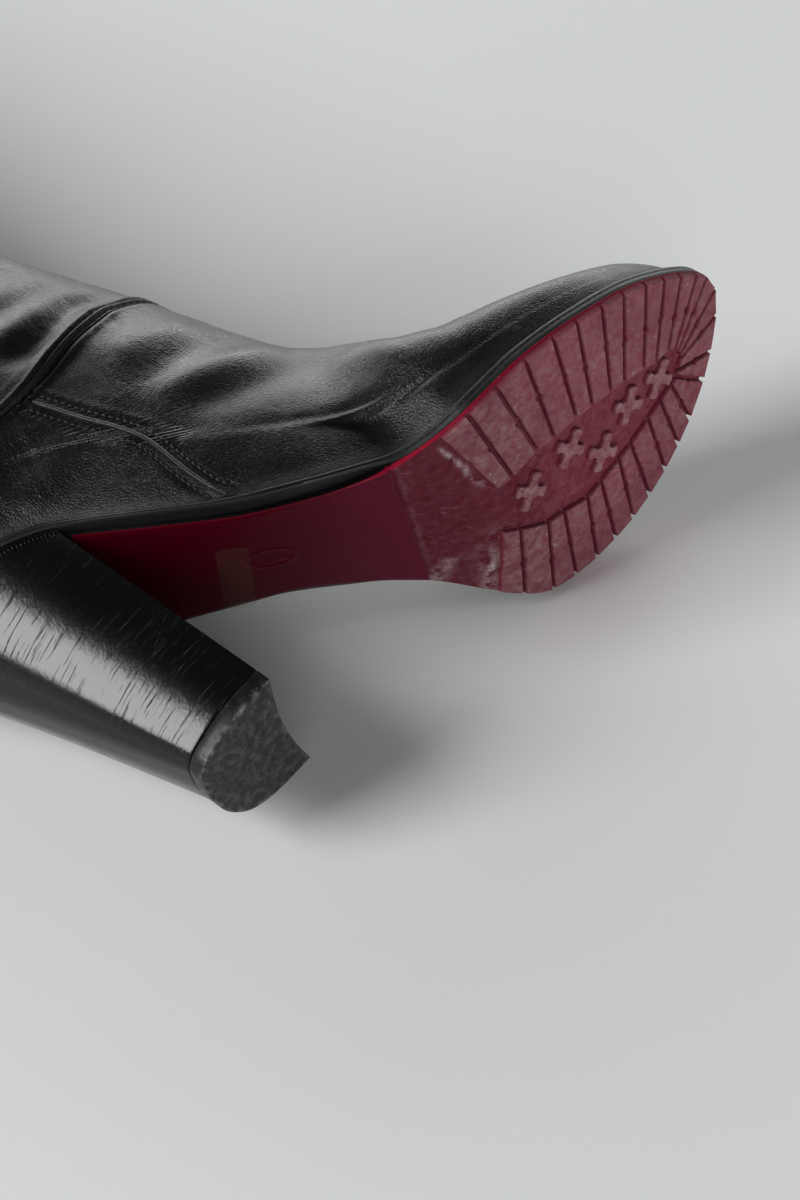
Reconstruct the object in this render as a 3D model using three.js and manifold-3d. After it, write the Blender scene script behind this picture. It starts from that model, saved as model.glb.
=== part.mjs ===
// Knee-high ankle-seamed boot with a block heel, right foot, lying on its medial side.
// Worked out in a boot frame (x towards the toe, y towards the medial side, z up from the tread),
// then laid on its side: row X runs down the shaft, row Y to the toe, row Z up from the floor.
import * as THREE from 'three';
import { mergeVertices } from 'three/addons/utils/BufferGeometryUtils.js';
import Module from 'manifold-3d';

const wasm = await Module();
wasm.setup();

// ---------------------------------------------------------------- driving sizes, mm
const X_BACK = 6, X_TOE = 222;      // back of the heel seat and tip of the toe
const T_SOLE = 6.0;                 // lug faces to the top of the midsole
const LUG = 1.5;                    // height of the tread blocks
const OUT_T = 2.7;                  // lug faces to the top of the outsole
const GAP = 0.3;                    // clearance between pieces that meet
const WELT = 2.4;                   // ledge of the midsole round the forepart
const WALL = 2.0;                   // leather and lining together
const INSOLE_T = 2.5;
const X_BREAST = 54;                // front of the heel under the waist
const LIFT_T = 5.0;                 // top piece
const HEEL_FLARE = 0.88;            // share of the heel's sweep that is straight
const GROOVE = 1.2;                 // groove between tread blocks
const PRESS = 2.5;                  // how far the slack shaft flattens on the floor
const X_FORE = 170, X_SEAT = 40;    // where the plan starts to round in at each end
const SEAM_Z = [[160, 136], [131, 126], [104, 117.5], [78, 109], [60, 112.5], [20, 118], [-40, 124]]; // x, z of the shaft's lower edge

// ---------------------------------------------------------------- tables
// plan of the red sole, and of the heel seat behind the breast
const PLAN = [ // x, medial y, lateral y
  [6, 0.5, 0.5], [9, 11, -10], [16, 20, -18.5], [28, 26, -24.5], [42, 28, -26.5], [54, 27, -26], [72, 19.5, -28.8],
  [93, 14.5, -31.2], [116, 21, -31], [128, 32.5, -33.8], [140, 42.3, -37.2], [152, 46.4, -37.2], [166, 47.2, -35.2],
  [180, 44.8, -31], [194, 38.8, -25.2], [206, 30.3, -17.2], [214, 21.2, -10.4], [219.5, 11.8, -4.2], [222, 3, 3]];
const PROFILE = [ // x, height of the sole's lowest surface
  [6, 93], [20, 89], [38, 82], [54, 71.9], [70, 50.5], [84.6, 31.8], [100, 18.6], [115.5, 9.4], [128, 3.2], [140, 0],
  [160, 0], [180, 0.35], [200, 1.3], [222, 3.2]];
const ARCH = [ // x, lift of the medial edge over the lateral one
  [6, 0], [40, 0], [54, 4.9], [72, 11], [88, 13.3], [104, 9], [116, 4.8], [128, 1], [138, 0], [150, 0], [222, 0]];
const RIM = [ // x, how far the midsole stands out past the red sole
  [6, 0.6], [30, 1], [54, 2.6], [72, 4.4], [90, 4.6], [108, 2.6], [118, 0.4], [130, 0], [222, 0]];
const LEDGE = [ // x, how far the upper stands in from the midsole's rim
  [6, 0.5], [30, 0.8], [60, 1], [110, 1.4], [130, WELT], [150, WELT], [222, WELT]];
const MID_BOTTOM = [ // x, midsole's underside over the lug faces, at the middle and at the rim
  [6, 2.9, 2.9], [50, 2.9, 3.1], [62, 2.7, 3.5], [104, 2.7, 3.4], [118, 3.05, 3.1], [130, 3.05, 3.05], [222, 3.05, 3.05]];

// sections of the upper, toe to collar. xb is on the sole, (xt, zt, yt) on the ridge of the instep, bulge is how far the
// side swells past the sole, waist is the height share of the widest place, n the squareness of the roof
const FOOT = [ // xb, xt, zt, yt, bulge medial, bulge lateral, waist, n
  [219.2, 218.2, 11.5, 3.0, 0.3, 0.3, 0.50, 2.0],
  [217.0, 214.5, 18.0, 3.5, 0.5, 0.5, 0.46, 1.9],
  [211.5, 208.0, 23.5, 4.0, 0.8, 0.8, 0.42, 1.8],
  [203.0, 199.0, 28.0, 4.5, 1.1, 1.1, 0.40, 1.75],
  [190.0, 186.0, 32.5, 5.0, 1.3, 1.3, 0.38, 1.7],
  [174.0, 170.5, 39.5, 5.5, 1.5, 1.6, 0.36, 1.7],
  [156.0, 154.5, 50.5, 6.0, 1.8, 1.8, 0.34, 1.7],
  [138.0, 145.0, 70.0, 6.0, 3.0, 2.0, 0.34, 1.75],
  [118.0, 138.5, 95.0, 5.5, 6.0, 2.0, 0.36, 1.8],
  [98.0, 134.0, 118.0, 5.0, 11.0, 2.5, 0.38, 1.85],
  [78.0, 129.5, 137.0, 4.0, 12.0, 3.5, 0.39, 1.9],
  [58.0, 126.0, 153.0, 3.0, 8.0, 5.0, 0.40, 2.0],
  [38.0, 122.5, 166.5, 2.0, 7.5, 7.0, 0.41, 2.0],
  [20.0, 120.0, 178.0, 1.5, 13.0, 13.0, 0.43, 2.0],
  [9.5, 118.0, 187.0, 1.0, 24.0, 24.0, 0.45, 2.0]];
const LEG = [ // back x, z, front x, z, y, half-width, widest place, squareness
  [4.0, 112, 116.0, 197, 1.0, 35.0, 0.48, 2.1],
  [5.0, 134, 113.5, 210, 0.5, 36.5, 0.49, 2.1],
  [8.5, 160, 111.5, 227, 0.0, 39.0, 0.50, 2.1],
  [10.0, 192, 110.5, 246, 0.0, 42.0, 0.50, 2.1],
  [7.0, 228, 110.0, 270, 0.0, 45.5, 0.50, 2.1],
  [2.0, 268, 111.0, 299, 0.0, 49.0, 0.50, 2.1],
  [-3.5, 310, 113.0, 330, 0.0, 52.0, 0.50, 2.1],
  [-7.0, 352, 115.0, 364, 0.0, 54.0, 0.50, 2.1],
  [-8.0, 396, 116.0, 402, 0.0, 55.0, 0.50, 2.1],
  [-7.0, 432, 116.5, 434, 0.0, 55.0, 0.50, 2.1],
  [-6.0, 462, 117.0, 462, 0.0, 54.5, 0.50, 2.1]];
// top piece of the heel: share from the back to the front corner, lateral side and medial side
const LIFT = [ // t, lateral x, lateral y, medial x, medial y
  [0, 28.9, -5.6, 28.8, -4.6], [0.1, 29.2, -9.2, 28.9, -0.5], [0.25, 31.6, -12.5, 30.4, 6.6], [0.45, 37.0, -15.3, 34.6, 12.9],
  [0.7, 45.6, -17.9, 42.0, 16.5], [1, 57, -18.65, 57, 16.8]];
// grooves of the tread, from the lateral rear corner round the toe to the medial rear corner
const LATERAL = [ // outer x, y, inner x, y
  [127.8, -33.6, 135.6, -6.6], [135.9, -36.6, 141.3, -6], [145.8, -37.1, 150.8, -6.6], [156.4, -36.7, 156.9, -5.1],
  [166.4, -35.1, 165.3, -4.7], [174.8, -32.7, 171.1, -2.9], [183.6, -29.4, 178.1, -1.6], [191.4, -26, 183.1, 0.1],
  [199.2, -21.4, 190.3, 2.6], [205.6, -17.4, 195, 4.6], [211.4, -12.7, 200, 5.1], [216.7, -7.6, 202.2, 7.3],
  [220.0, -3.4, 203.3, 8.7], [221.9, 3.2, 203.6, 10.4], [219.6, 11.6, 203.9, 12.3], [214.2, 20.9, 201.7, 14.9],
  [209, 27.2, 200.6, 16.8]];
const MEDIAL = [
  [209, 27.2, 200.6, 16.8], [200.6, 34.4, 197.6, 17.3], [194.2, 38.7, 192.6, 18.4], [187.4, 42, 187, 20.1],
  [179.8, 44.8, 179.1, 22], [172.4, 46.5, 173.9, 22.9], [164.8, 47.2, 166.3, 24], [157.2, 47, 160.6, 24.6],
  [149.2, 45.8, 152.4, 21.2], [141.1, 43, 146.7, 19.6], [133.1, 37.4, 138.1, 12.9], [127.8, 32.2, 133.3, 9.6]];
const STUDS = [[145, 4.3], [160.6, 3.4], [169.8, 15.1], [182.2, 9], [194.4, 11]]; // centres of the cross studs
const STUD_ARM = 11.5, STUD_W = 4.2;

// ---------------------------------------------------------------- curves
function curve(rows, col = 1) { // smooth curve through a table's rows, with no overshoot at its humps
  const xs = rows.map((r) => r[0]), ys = rows.map((r) => r[col]), n = xs.length, m = new Array(n).fill(0);
  const slope = (i) => (ys[i + 1] - ys[i]) / (xs[i + 1] - xs[i]);
  for (let i = 1; i < n - 1; i++) {
    const h0 = xs[i] - xs[i - 1], h1 = xs[i + 1] - xs[i], d0 = slope(i - 1), d1 = slope(i);
    m[i] = d0 * d1 <= 0 ? 0 : (d0 * h1 + d1 * h0) / (h0 + h1);
  }
  m[0] = 1.5 * slope(0) - 0.5 * m[1];
  m[n - 1] = 1.5 * slope(n - 2) - 0.5 * m[n - 2];
  return (q) => {
    let i = 0;
    while (i < n - 2 && q >= xs[i + 1]) i++;
    const h = xs[i + 1] - xs[i], t = Math.min(1, Math.max(0, (q - xs[i]) / h)), t2 = t * t, t3 = t2 * t;
    return (2 * t3 - 3 * t2 + 1) * ys[i] + (t3 - 2 * t2 + t) * h * m[i] + (3 * t2 - 2 * t3) * ys[i + 1] + (t3 - t2) * h * m[i + 1];
  };
}
const clamp = (v, a, b) => Math.min(b, Math.max(a, v));
const mix = (a, b, t) => a + (b - a) * t;
const smooth = (t) => { t = clamp(t, 0, 1); return t * t * (3 - 2 * t); };
const toG = (x) => Math.acos(1 - 2 * clamp((x - X_BACK) / (X_TOE - X_BACK), 0, 1)) / Math.PI; // station, 0 at the back, 1 at the toe
const toX = (g) => X_BACK + (X_TOE - X_BACK) * (1 - Math.cos(Math.PI * g)) / 2;
const planMed = curve(PLAN.map((r) => [toG(r[0]), r[1]])), planLat = curve(PLAN.map((r) => [toG(r[0]), r[2]]));
const profile = curve(PROFILE), arch = curve(ARCH), rimOut = curve(RIM), ledge = curve(LEDGE);
const midCentre = curve(MID_BOTTOM, 1), midRim = curve(MID_BOTTOM, 2);
const plan = (x, side) => (side > 0 ? planMed(toG(x)) : planLat(toG(x)));
const rim = (x, side) => plan(x, side) + side * rimOut(x);
function zSole(x, y) { // lowest surface of the sole
  const a = plan(x, -1) - 0.01, b = plan(x, 1) + 0.01;
  return profile(x) + arch(x) * clamp((y - a) / (b - a), -0.3, 1.3);
}
function inward(x, side, d, atBack) { // midsole outline moved in by d, both ends rounding in with it
  let q = x, t = 0;
  if (x > X_FORE) { q = X_FORE + (x - X_FORE) * (X_TOE - X_FORE) / (X_TOE - d - X_FORE); t = clamp((q - X_FORE) / (X_TOE - X_FORE), 0, 1); }
  if (x < X_SEAT && atBack) { q = X_SEAT - (X_SEAT - x) * (X_SEAT - X_BACK) / (X_SEAT - atBack - X_BACK); t = clamp((X_SEAT - q) / (X_SEAT - X_BACK), 0, 1); }
  return rim(q, side) - side * d * Math.sqrt(1 - t * t);
}
const feather = (x, side) => inward(x, side, ledge(x), 0);

// ---------------------------------------------------------------- solids
function meshSolid(verts, tris) { // closed solid from points and triangles, turned to face out
  let vol = 0;
  for (const [a, b, c] of tris) {
    const p = verts[a], q = verts[b], r = verts[c];
    vol += p[0] * (q[1] * r[2] - q[2] * r[1]) + p[1] * (q[2] * r[0] - q[0] * r[2]) + p[2] * (q[0] * r[1] - q[1] * r[0]);
  }
  const t = vol < 0 ? tris.map(([a, b, c]) => [a, c, b]) : tris;
  return new wasm.Manifold(new wasm.Mesh({ numProp: 3, vertProperties: new Float32Array(verts.flat()), triVerts: new Uint32Array(t.flat()) }));
}
function ringSolid(rings, capA, capB) { // rings of equal count joined in order, closed by the two caps' triangles
  const n = rings[0].length, verts = rings.flat(), tris = [];
  for (let i = 0; i + 1 < rings.length; i++) for (let j = 0; j < n; j++) {
    const a = i * n + j, b = i * n + (j + 1) % n, c = a + n, d = b + n;
    tris.push([a, b, d], [a, d, c]);
  }
  const cap = (kind, base, flip) => {
    const out = [];
    if (kind === 'strip') for (let j = 0; j < n / 2 - 1; j++) { // opposite points paired, for a ruled face
      const a = j, b = j + 1, c = n - 1 - j, d = n - 2 - j;
      out.push([a, b, c]);
      if (b !== d) out.push([b, d, c]);
    } else for (let j = 1; j + 1 < n; j++) out.push([0, j, j + 1]);
    for (const [a, b, c] of out) if (a !== b && b !== c && a !== c) tris.push(flip ? [base + a, base + c, base + b] : [base + a, base + b, base + c]);
  };
  cap(capA, 0, true);
  cap(capB, (rings.length - 1) * n, false);
  return meshSolid(verts, tris);
}
function slab(stations, low, high, across) { // closed slab over a plan: low and high give [y, z] at a station and a share across
  const rings = stations.map((x) => {
    const ring = [];
    for (let i = 0; i < across.length; i++) ring.push([x, ...low(x, across[i])]);
    for (let i = across.length - 1; i >= 0; i--) ring.push([x, ...high(x, across[i])]);
    return ring;
  });
  return ringSolid(rings, 'strip', 'strip');
}
function prism(poly, bottom, top) { // upright prism over a plan polygon
  const lo = poly.map(([x, y]) => [x, y, bottom(x, y)]), hi = poly.map(([x, y]) => [x, y, top(x, y)]);
  return ringSolid([lo, hi], 'fan', 'fan');
}
const range = (a, b, n) => Array.from({ length: n + 1 }, (_, i) => a + (b - a) * i / n);
const stationsBetween = (x0, x1, n) => range(toG(x0), toG(x1), n).map(toX);

// ---------------------------------------------------------------- outsole: base, tread blocks, cross studs
const ACROSS = [0, 0.25, 0.5, 0.75, 1];
const STATIONS = stationsBetween(X_BACK + 0.05, X_TOE - 0.05, 54); // shared, so that the layers' facets lie parallel
const baseLift = (x) => LUG * smooth((x - 110) / 14);
const outsoleBase = slab([X_BREAST + 0.7, ...STATIONS.filter((x) => x > X_BREAST + 2)],
  (x, s) => { const y = mix(plan(x, -1), plan(x, 1), s); return [y, zSole(x, y) + baseLift(x)]; },
  (x, s) => { const y = mix(plan(x, -1), plan(x, 1), s); return [y, zSole(x, y) + mix(2.25, OUT_T, smooth((x - 104) / 14))]; }, ACROSS);
function block(a, b) { // one tread block between two grooves, each giving half the groove's width
  const shrink = (p, q, ends) => { const dx = q[0] - p[0], dy = q[1] - p[1], l = Math.hypot(dx, dy), k = Math.min(GROOVE / 2, l * 0.3) / l; return ends ? [q[0] - dx * k, q[1] - dy * k] : [p[0] + dx * k, p[1] + dy * k]; };
  const ao = [a[0], a[1]], bo = [b[0], b[1]], ai = [a[2], a[3]], bi = [b[2], b[3]];
  const mid = [(ao[0] + bo[0]) / 2, (ao[1] + bo[1]) / 2], g = [X_FORE, 5];
  const side = mid[1] > 5 ? 1 : -1, bow = mid[0] < 216 ? [mid[0], plan(mid[0], side) - side * 0.1] : mid;
  const poly = [shrink(ao, bo, false), bow, shrink(ao, bo, true), shrink(ai, bi, true), shrink(ai, bi, false)];
  const inset = poly.map(([x, y], i) => (i > 2 ? [x, y] : [mix(x, g[0], 0.004), mix(y, g[1], 0.004)]));
  return prism(inset, (x, y) => zSole(x, y), (x, y) => zSole(x, y) + LUG + 0.5);
}
function stud([cx, cy]) {
  const arms = [45, 135].map((deg) => {
    const c = Math.cos(deg * Math.PI / 180), s = Math.sin(deg * Math.PI / 180), h = STUD_ARM / 2, w = STUD_W / 2;
    const poly = [[-h, -w * 0.8], [-h, w * 0.8], [-w * 0.3, w * 0.55], [h, w * 0.8], [h, -w * 0.8], [w * 0.3, -w * 0.55]].map(([u, v]) => [cx + u * c - v * s, cy + u * s + v * c]);
    return prism(poly, (x, y) => zSole(x, y), (x, y) => zSole(x, y) + LUG + 0.5);
  });
  return arms[0].add(arms[1]);
}
let outsole = outsoleBase;
for (const table of [LATERAL, MEDIAL]) for (let i = 0; i + 1 < table.length; i++) outsole = outsole.add(block(table[i], table[i + 1]));
for (const c of STUDS) outsole = outsole.add(stud(c));

// ---------------------------------------------------------------- midsole and insole
const midsole = slab(STATIONS,
  (x, s) => {
    const y = mix(rim(x, -1), rim(x, 1), s), edge = clamp(Math.abs(s - 0.5) * 2, 0, 1);
    return [y, zSole(x, y) + mix(midCentre(x), midRim(x), clamp((edge - 0.8) / 0.2, 0, 1))];
  },
  (x, s) => { const y = mix(rim(x, -1), rim(x, 1), s); return [y, zSole(x, y) + T_SOLE]; }, [0, 0.1, 0.3, 0.5, 0.7, 0.9, 1]);
const INNER = WALL + 0.4;
const insoleEdge = (x, side) => inward(x, side, ledge(x) + INNER, INNER + 0.6);
const within = (a, b) => [a, ...STATIONS.filter((x) => x > a + 0.4 && x < b - 0.4), b];
const insole = slab(within(X_BACK + INNER + 1.6, X_TOE - WELT - INNER - 1.0),
  (x, s) => { const y = mix(insoleEdge(x, -1), insoleEdge(x, 1), s); return [y, zSole(x, y) + T_SOLE + GAP + 0.2]; },
  (x, s) => { const y = mix(insoleEdge(x, -1), insoleEdge(x, 1), s); return [y, zSole(x, y) + T_SOLE + GAP + 0.2 + INSOLE_T]; }, [0, 0.5, 1]);

// ---------------------------------------------------------------- heel and top piece
const liftCol = [1, 2, 3, 4].map((c) => curve(LIFT, c));
const HEEL_T = range(0, 1, 12).map((t) => t ** 1.25);
const seatX = (t) => 6.5 + (X_BREAST - 6.5) * t ** 1.6;
function heelRing(h, z0) { // h from 0 at the top piece to 1 at the seat
  const k = HEEL_FLARE * h + (1 - HEEL_FLARE) * h ** 5;
  const at = (t, side) => {
    const c = side < 0 ? 0 : 2, bx = liftCol[c](t), by = liftCol[c + 1](t), ux = seatX(t), uy = rim(ux, side) - side * 0.6;
    return [mix(bx, ux, k), mix(by, uy, k), mix(z0, zSole(ux, uy) + 2.6, h)];
  };
  const lat = HEEL_T.map((t) => at(t, -1)), med = HEEL_T.map((t) => at(t, 1));
  const a = lat[lat.length - 1], b = med[med.length - 1], hollow = mix(2.2, 0.6, h);
  const front = [0.25, 0.5, 0.75].map((s) => [mix(a[0], b[0], s) - hollow * Math.sin(Math.PI * s), mix(a[1], b[1], s), mix(a[2], b[2], s)]);
  return [...lat, ...front, ...med.reverse()];
}
function heelSolid(rings) {
  const n = rings[0].length, m = HEEL_T.length, verts = rings.flat(), tris = [];
  for (let i = 0; i + 1 < rings.length; i++) for (let j = 0; j < n; j++) {
    const a = i * n + j, b = i * n + (j + 1) % n;
    tris.push([a, b, b + n], [a, b + n, a + n]);
  }
  for (const [base, flip] of [[0, true], [(rings.length - 1) * n, false]]) {
    // the hollow front is met by a fan from the pair one step behind it
    const caps = [];
    for (let j = 0; j + 2 < m; j++) { const a = j, b = j + 1, c = n - 1 - j, d = n - 2 - j; caps.push([a, b, c], [b, d, c]); }
    const a = m - 2, d = n - m + 1, f = [m - 1, m, m + 1, m + 2, n - m];
    caps.push([a, f[0], f[1]], [a, f[1], f[2]], [a, f[2], d], [f[2], f[3], d], [f[3], f[4], d]);
    for (const [p, q, r] of caps) tris.push(flip ? [base + p, base + r, base + q] : [base + p, base + q, base + r]);
  }
  return meshSolid(verts, tris);
}
const heel = heelSolid(range(0, 1, 8).map((h) => heelRing(h ** 0.8, LIFT_T + GAP)));
const topPiece = heelSolid([0, LIFT_T].map((z) => heelRing(0, 0).map(([x, y]) => [x, y, z])));

// ---------------------------------------------------------------- upper and shaft: sections
function resolved() { // both tables as rows of the same sixteen numbers
  const rows = [];
  for (const [xb, xt, zt, yt, bm, bl, sw, n] of FOOT) {
    const m = feather(xb, 1), l = feather(xb, -1), yb = (m + l) / 2;
    const zm = zSole(xb, m) + T_SOLE + GAP, zl = zSole(xb, l) + T_SOLE + GAP;
    rows.push([xb, (zm + zl) / 2, yb, xt, zt, yt, m - yb, yb - l, m - yb + bm, yb - l + bl, sw, n, (zm - zl) / 2]);
  }
  for (const [xb, zb, xt, zt, yt, w, sw, n] of LEG) rows.push([xb, zb, 0.5, xt, zt, yt, 0.4, 0.4, w, w, sw, n, 0]);
  return rows;
}
const ROWS = resolved();
const rowCurves = ROWS[0].map((_, c) => curve(ROWS.map((r, i) => [i, r[c]])));
const rowAt = (u) => rowCurves.map((f) => f(u));
const N_FOOT = FOOT.length, N_ROWS = ROWS.length;
const K_LOW = 5, K_TOP = 8;          // points below and above the widest place, each side
function sideShape(wf, wm, sw, n) { // share of height and half-width, from the feather up to the ridge
  const n1 = 2.1, r = Math.min(Math.max(wf, 0.05) / wm, 0.985), a = sw / (1 - r ** n1) ** (1 / n1), out = [];
  const th0 = Math.asin(Math.min(1, (sw / a) ** (n1 / 2)));
  for (let i = 0; i < K_LOW; i++) { const th = th0 * (1 - i / K_LOW); out.push([sw - a * Math.sin(th) ** (2 / n1), wm * Math.cos(th) ** (2 / n1)]); }
  for (let i = 0; i <= K_TOP; i++) { const ph = Math.PI / 2 * i / K_TOP; out.push([sw + (1 - sw) * Math.sin(ph) ** (2 / n), i === K_TOP ? 0 : wm * Math.cos(ph) ** (2 / n)]); }
  return out;
}
function loop(row, wall = 0, lift = 0) { // one section, moved in by the wall, its foot raised by lift
  let [xb, zb, yb, xt, zt, yt, wfm, wfl, wmm, wml, sw, n, roll] = row;
  const len = Math.hypot(xt - xb, zt - zb), at = (s) => [mix(xb, xt, s), mix(zb, zt, s)];
  const [x0, z0] = at(lift / len), [x1, z1] = at(1 - wall / len);
  const side = (wf, wm, sgn) => sideShape(Math.max(wf - wall, 0.3), wm - wall, sw, n).map(([s, h]) => [
    mix(x0, x1, s), mix(yb, yt, s) + sgn * h, mix(z0, z1, s) + sgn * roll * clamp(1 - s / sw, 0, 1)]);
  const lat = side(wfl, wml, -1), med = side(wfm, wmm, 1);
  return [...lat.slice(0, -1), ...med.reverse()];
}

// ---------------------------------------------------------------- how the boot lies
const V = (p) => new THREE.Vector3(...p);
const points = (solid) => { const g = solid.getMesh(), out = []; for (let i = 0; i < g.numVert; i++) out.push(new THREE.Vector3(...g.vertProperties.slice(i * g.numProp, i * g.numProp + 3))); return out; };
const steps = (a, b, n) => range(a, b, n);
const uSteps = [...steps(0, N_FOOT - 1, (N_FOOT - 1) * 2), ...steps(N_FOOT - 1, N_ROWS - 1, (N_ROWS - N_FOOT) * 2).slice(1)];
const outerRaw = uSteps.map((u) => loop(rowAt(u)));
const legPoints = outerRaw.flat().map(V), solePoints = [...points(outsole), ...points(midsole)], heelPoints = [...points(topPiece), ...points(heel)];
const groups = [ // what can meet the floor: the forepart, the back part, the leg
  [...solePoints, ...legPoints].filter((p) => p.x > 110 && p.z < 80),
  [...heelPoints, ...solePoints, ...legPoints].filter((p) => p.x < 70 && p.z < 150),
  legPoints.filter((p) => p.z > 230)];
function restAttitude() { // the floor's normal and height where forepart, heel and shaft all touch, the shaft pressed flat by PRESS
  const normal = ([a, b]) => new THREE.Vector3(a, -1, b).normalize();
  const low = (g, n) => g.reduce((m, p) => Math.min(m, p.dot(n)), Infinity);
  const miss = (q) => { const n = normal(q), h = groups.map((g) => low(g, n)); return [h[1] - h[0], h[2] + PRESS - h[0]]; };
  let q = [0.3, 0.127];
  for (let k = 0; k < 25; k++) {
    const f = miss(q), e = 1e-4, fa = miss([q[0] + e, q[1]]), fb = miss([q[0], q[1] + e]);
    const j = [(fa[0] - f[0]) / e, (fb[0] - f[0]) / e, (fa[1] - f[1]) / e, (fb[1] - f[1]) / e], det = j[0] * j[3] - j[1] * j[2];
    const step = [(j[3] * f[0] - j[1] * f[1]) / det, (j[0] * f[1] - j[2] * f[0]) / det];
    q = q.map((v, i) => v - clamp(step[i], -0.03, 0.03));
  }
  const n = normal(q);
  return { n, d: low([...groups[0], ...groups[1]], n) };
}
const rest = restAttitude();
const press = (p, h) => { const v = V(p), below = rest.d + h - v.dot(rest.n); return below > 0 ? v.addScaledVector(rest.n, below).toArray() : p; };

// ---------------------------------------------------------------- upper and shaft: solids
const outer = ringSolid(outerRaw.map((l) => l.map((p) => press(p, 0))), 'fan', 'fan');
const innerLoops = uSteps.filter((u) => u >= 1).map((u) => loop(rowAt(u), WALL, u <= N_FOOT - 1 ? mix(1.2, WALL, smooth((u - (N_FOOT - 3)) / 2)) : WALL).map((p) => press(p, WALL)));
const mouth = innerLoops[innerLoops.length - 1].map(([x, y, z]) => [x, y, z + 6]);
const inner = ringSolid([...innerLoops, mouth], 'fan', 'fan');
const bedEdge = (x, side) => inward(x, side, ledge(x) + WALL, WALL + 0.6);
const bed = slab(within(X_BACK + WALL + 1.6, X_TOE - WELT - WALL - 1.0),
  (x, s) => { const y = mix(bedEdge(x, -1), bedEdge(x, 1), s); return [y, zSole(x, y) + T_SOLE - 4]; },
  (x, s) => { const y = mix(bedEdge(x, -1), bedEdge(x, 1), s); return [y, zSole(x, y) + T_SOLE + 3.4]; }, [0, 0.5, 1]);
// everything below the upper's lower edge, to trim its facets clear of the midsole
const under = slab(STATIONS,
  (x, s) => { const y = mix(plan(x, -1) - 12, plan(x, 1) + 12, s); return [y, zSole(x, y) - 20]; },
  (x, s) => { const y = mix(plan(x, -1) - 12, plan(x, 1) + 12, s); return [y, zSole(x, y) + T_SOLE + GAP * 0.9]; }, [0, 0.1, 0.3, 0.5, 0.7, 0.9, 1]);
const shell = outer.subtract(inner).subtract(bed).subtract(under);

function aboveSeam(shift) { // everything above the shaft's lower edge
  const shape = new THREE.Shape();
  SEAM_Z.forEach(([x, z], i) => (i ? shape.lineTo(x, z + shift) : shape.moveTo(x, z + shift)));
  shape.lineTo(-40, 520); shape.lineTo(160, 520); shape.closePath();
  const g = new THREE.ExtrudeGeometry(shape, { depth: 200, bevelEnabled: false });
  g.rotateX(Math.PI / 2); g.translate(0, 100, 0);
  g.deleteAttribute('normal'); g.deleteAttribute('uv');
  const m = mergeVertices(g, 1e-4);
  return new wasm.Manifold(new wasm.Mesh({ numProp: 3, vertProperties: new Float32Array(m.attributes.position.array), triVerts: new Uint32Array(m.index.array) }));
}
const upper = shell.subtract(aboveSeam(-GAP / 2));
const shaft = shell.intersect(aboveSeam(GAP / 2));

// ---------------------------------------------------------------- laid on the floor
const zRow = rest.n.clone();
const xRow = new THREE.Vector3(0, 0, -1).addScaledVector(zRow, zRow.z).normalize();
const yRow = new THREE.Vector3().crossVectors(zRow, xRow);
const turn = new THREE.Matrix4().makeBasis(xRow, yRow, zRow).transpose();
const all = [...outerRaw.flat().map((p) => V(press(p, 0))), ...solePoints, ...heelPoints].map((p) => p.clone().applyMatrix4(turn));
const box = new THREE.Box3().setFromPoints(all);

const boot = new THREE.Group();
const laid = new THREE.Group();
laid.quaternion.setFromRotationMatrix(turn);
laid.position.set(-(box.min.x + box.max.x) / 2, -(box.min.y + box.max.y) / 2, -box.min.z);
boot.add(laid);

function piece(name, solid, color, roughness, metalness = 0) {
  const parts = solid.decompose().sort((a, b) => b.volume() - a.volume());
  const m = parts[0].getMesh(), g = new THREE.BufferGeometry(), pos = new Float32Array(m.numVert * 3);
  for (let i = 0; i < m.numVert; i++) for (let k = 0; k < 3; k++) pos[i * 3 + k] = m.vertProperties[i * m.numProp + k];
  g.setAttribute('position', new THREE.BufferAttribute(pos, 3));
  g.setIndex(new THREE.BufferAttribute(new Uint32Array(m.triVerts), 1));
  const mesh = new THREE.Mesh(g, new THREE.MeshStandardMaterial({ color, roughness, metalness }));
  mesh.name = name;
  laid.add(mesh);
}
piece('outsole', outsole, 0x7a2f48, 0.6);
piece('midsole', midsole, 0x1b1b1c, 0.6);
piece('insole', insole, 0x3a3028, 0.8);
piece('heel', heel, 0x121213, 0.3);
piece('top_piece', topPiece, 0x3b3b3c, 0.85);
piece('upper', upper, 0x1a1a1b, 0.45);
piece('shaft', shaft, 0x1a1a1b, 0.45);

export default boot;
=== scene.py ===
import math
import bpy
import bmesh
import numpy as np
from mathutils import Matrix, Vector
from mathutils.kdtree import KDTree


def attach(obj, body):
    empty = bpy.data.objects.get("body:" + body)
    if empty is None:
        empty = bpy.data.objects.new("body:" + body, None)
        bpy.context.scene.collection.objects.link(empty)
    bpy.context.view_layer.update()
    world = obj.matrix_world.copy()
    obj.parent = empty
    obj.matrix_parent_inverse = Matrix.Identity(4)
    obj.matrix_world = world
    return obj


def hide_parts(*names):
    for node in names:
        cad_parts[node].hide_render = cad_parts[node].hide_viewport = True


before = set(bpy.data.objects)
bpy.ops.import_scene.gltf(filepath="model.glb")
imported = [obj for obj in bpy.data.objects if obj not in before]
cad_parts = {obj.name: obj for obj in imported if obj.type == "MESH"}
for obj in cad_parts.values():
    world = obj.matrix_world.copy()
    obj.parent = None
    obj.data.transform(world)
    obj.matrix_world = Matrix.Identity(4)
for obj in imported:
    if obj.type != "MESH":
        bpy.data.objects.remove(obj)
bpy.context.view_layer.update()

rng = np.random.default_rng(7)

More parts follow.
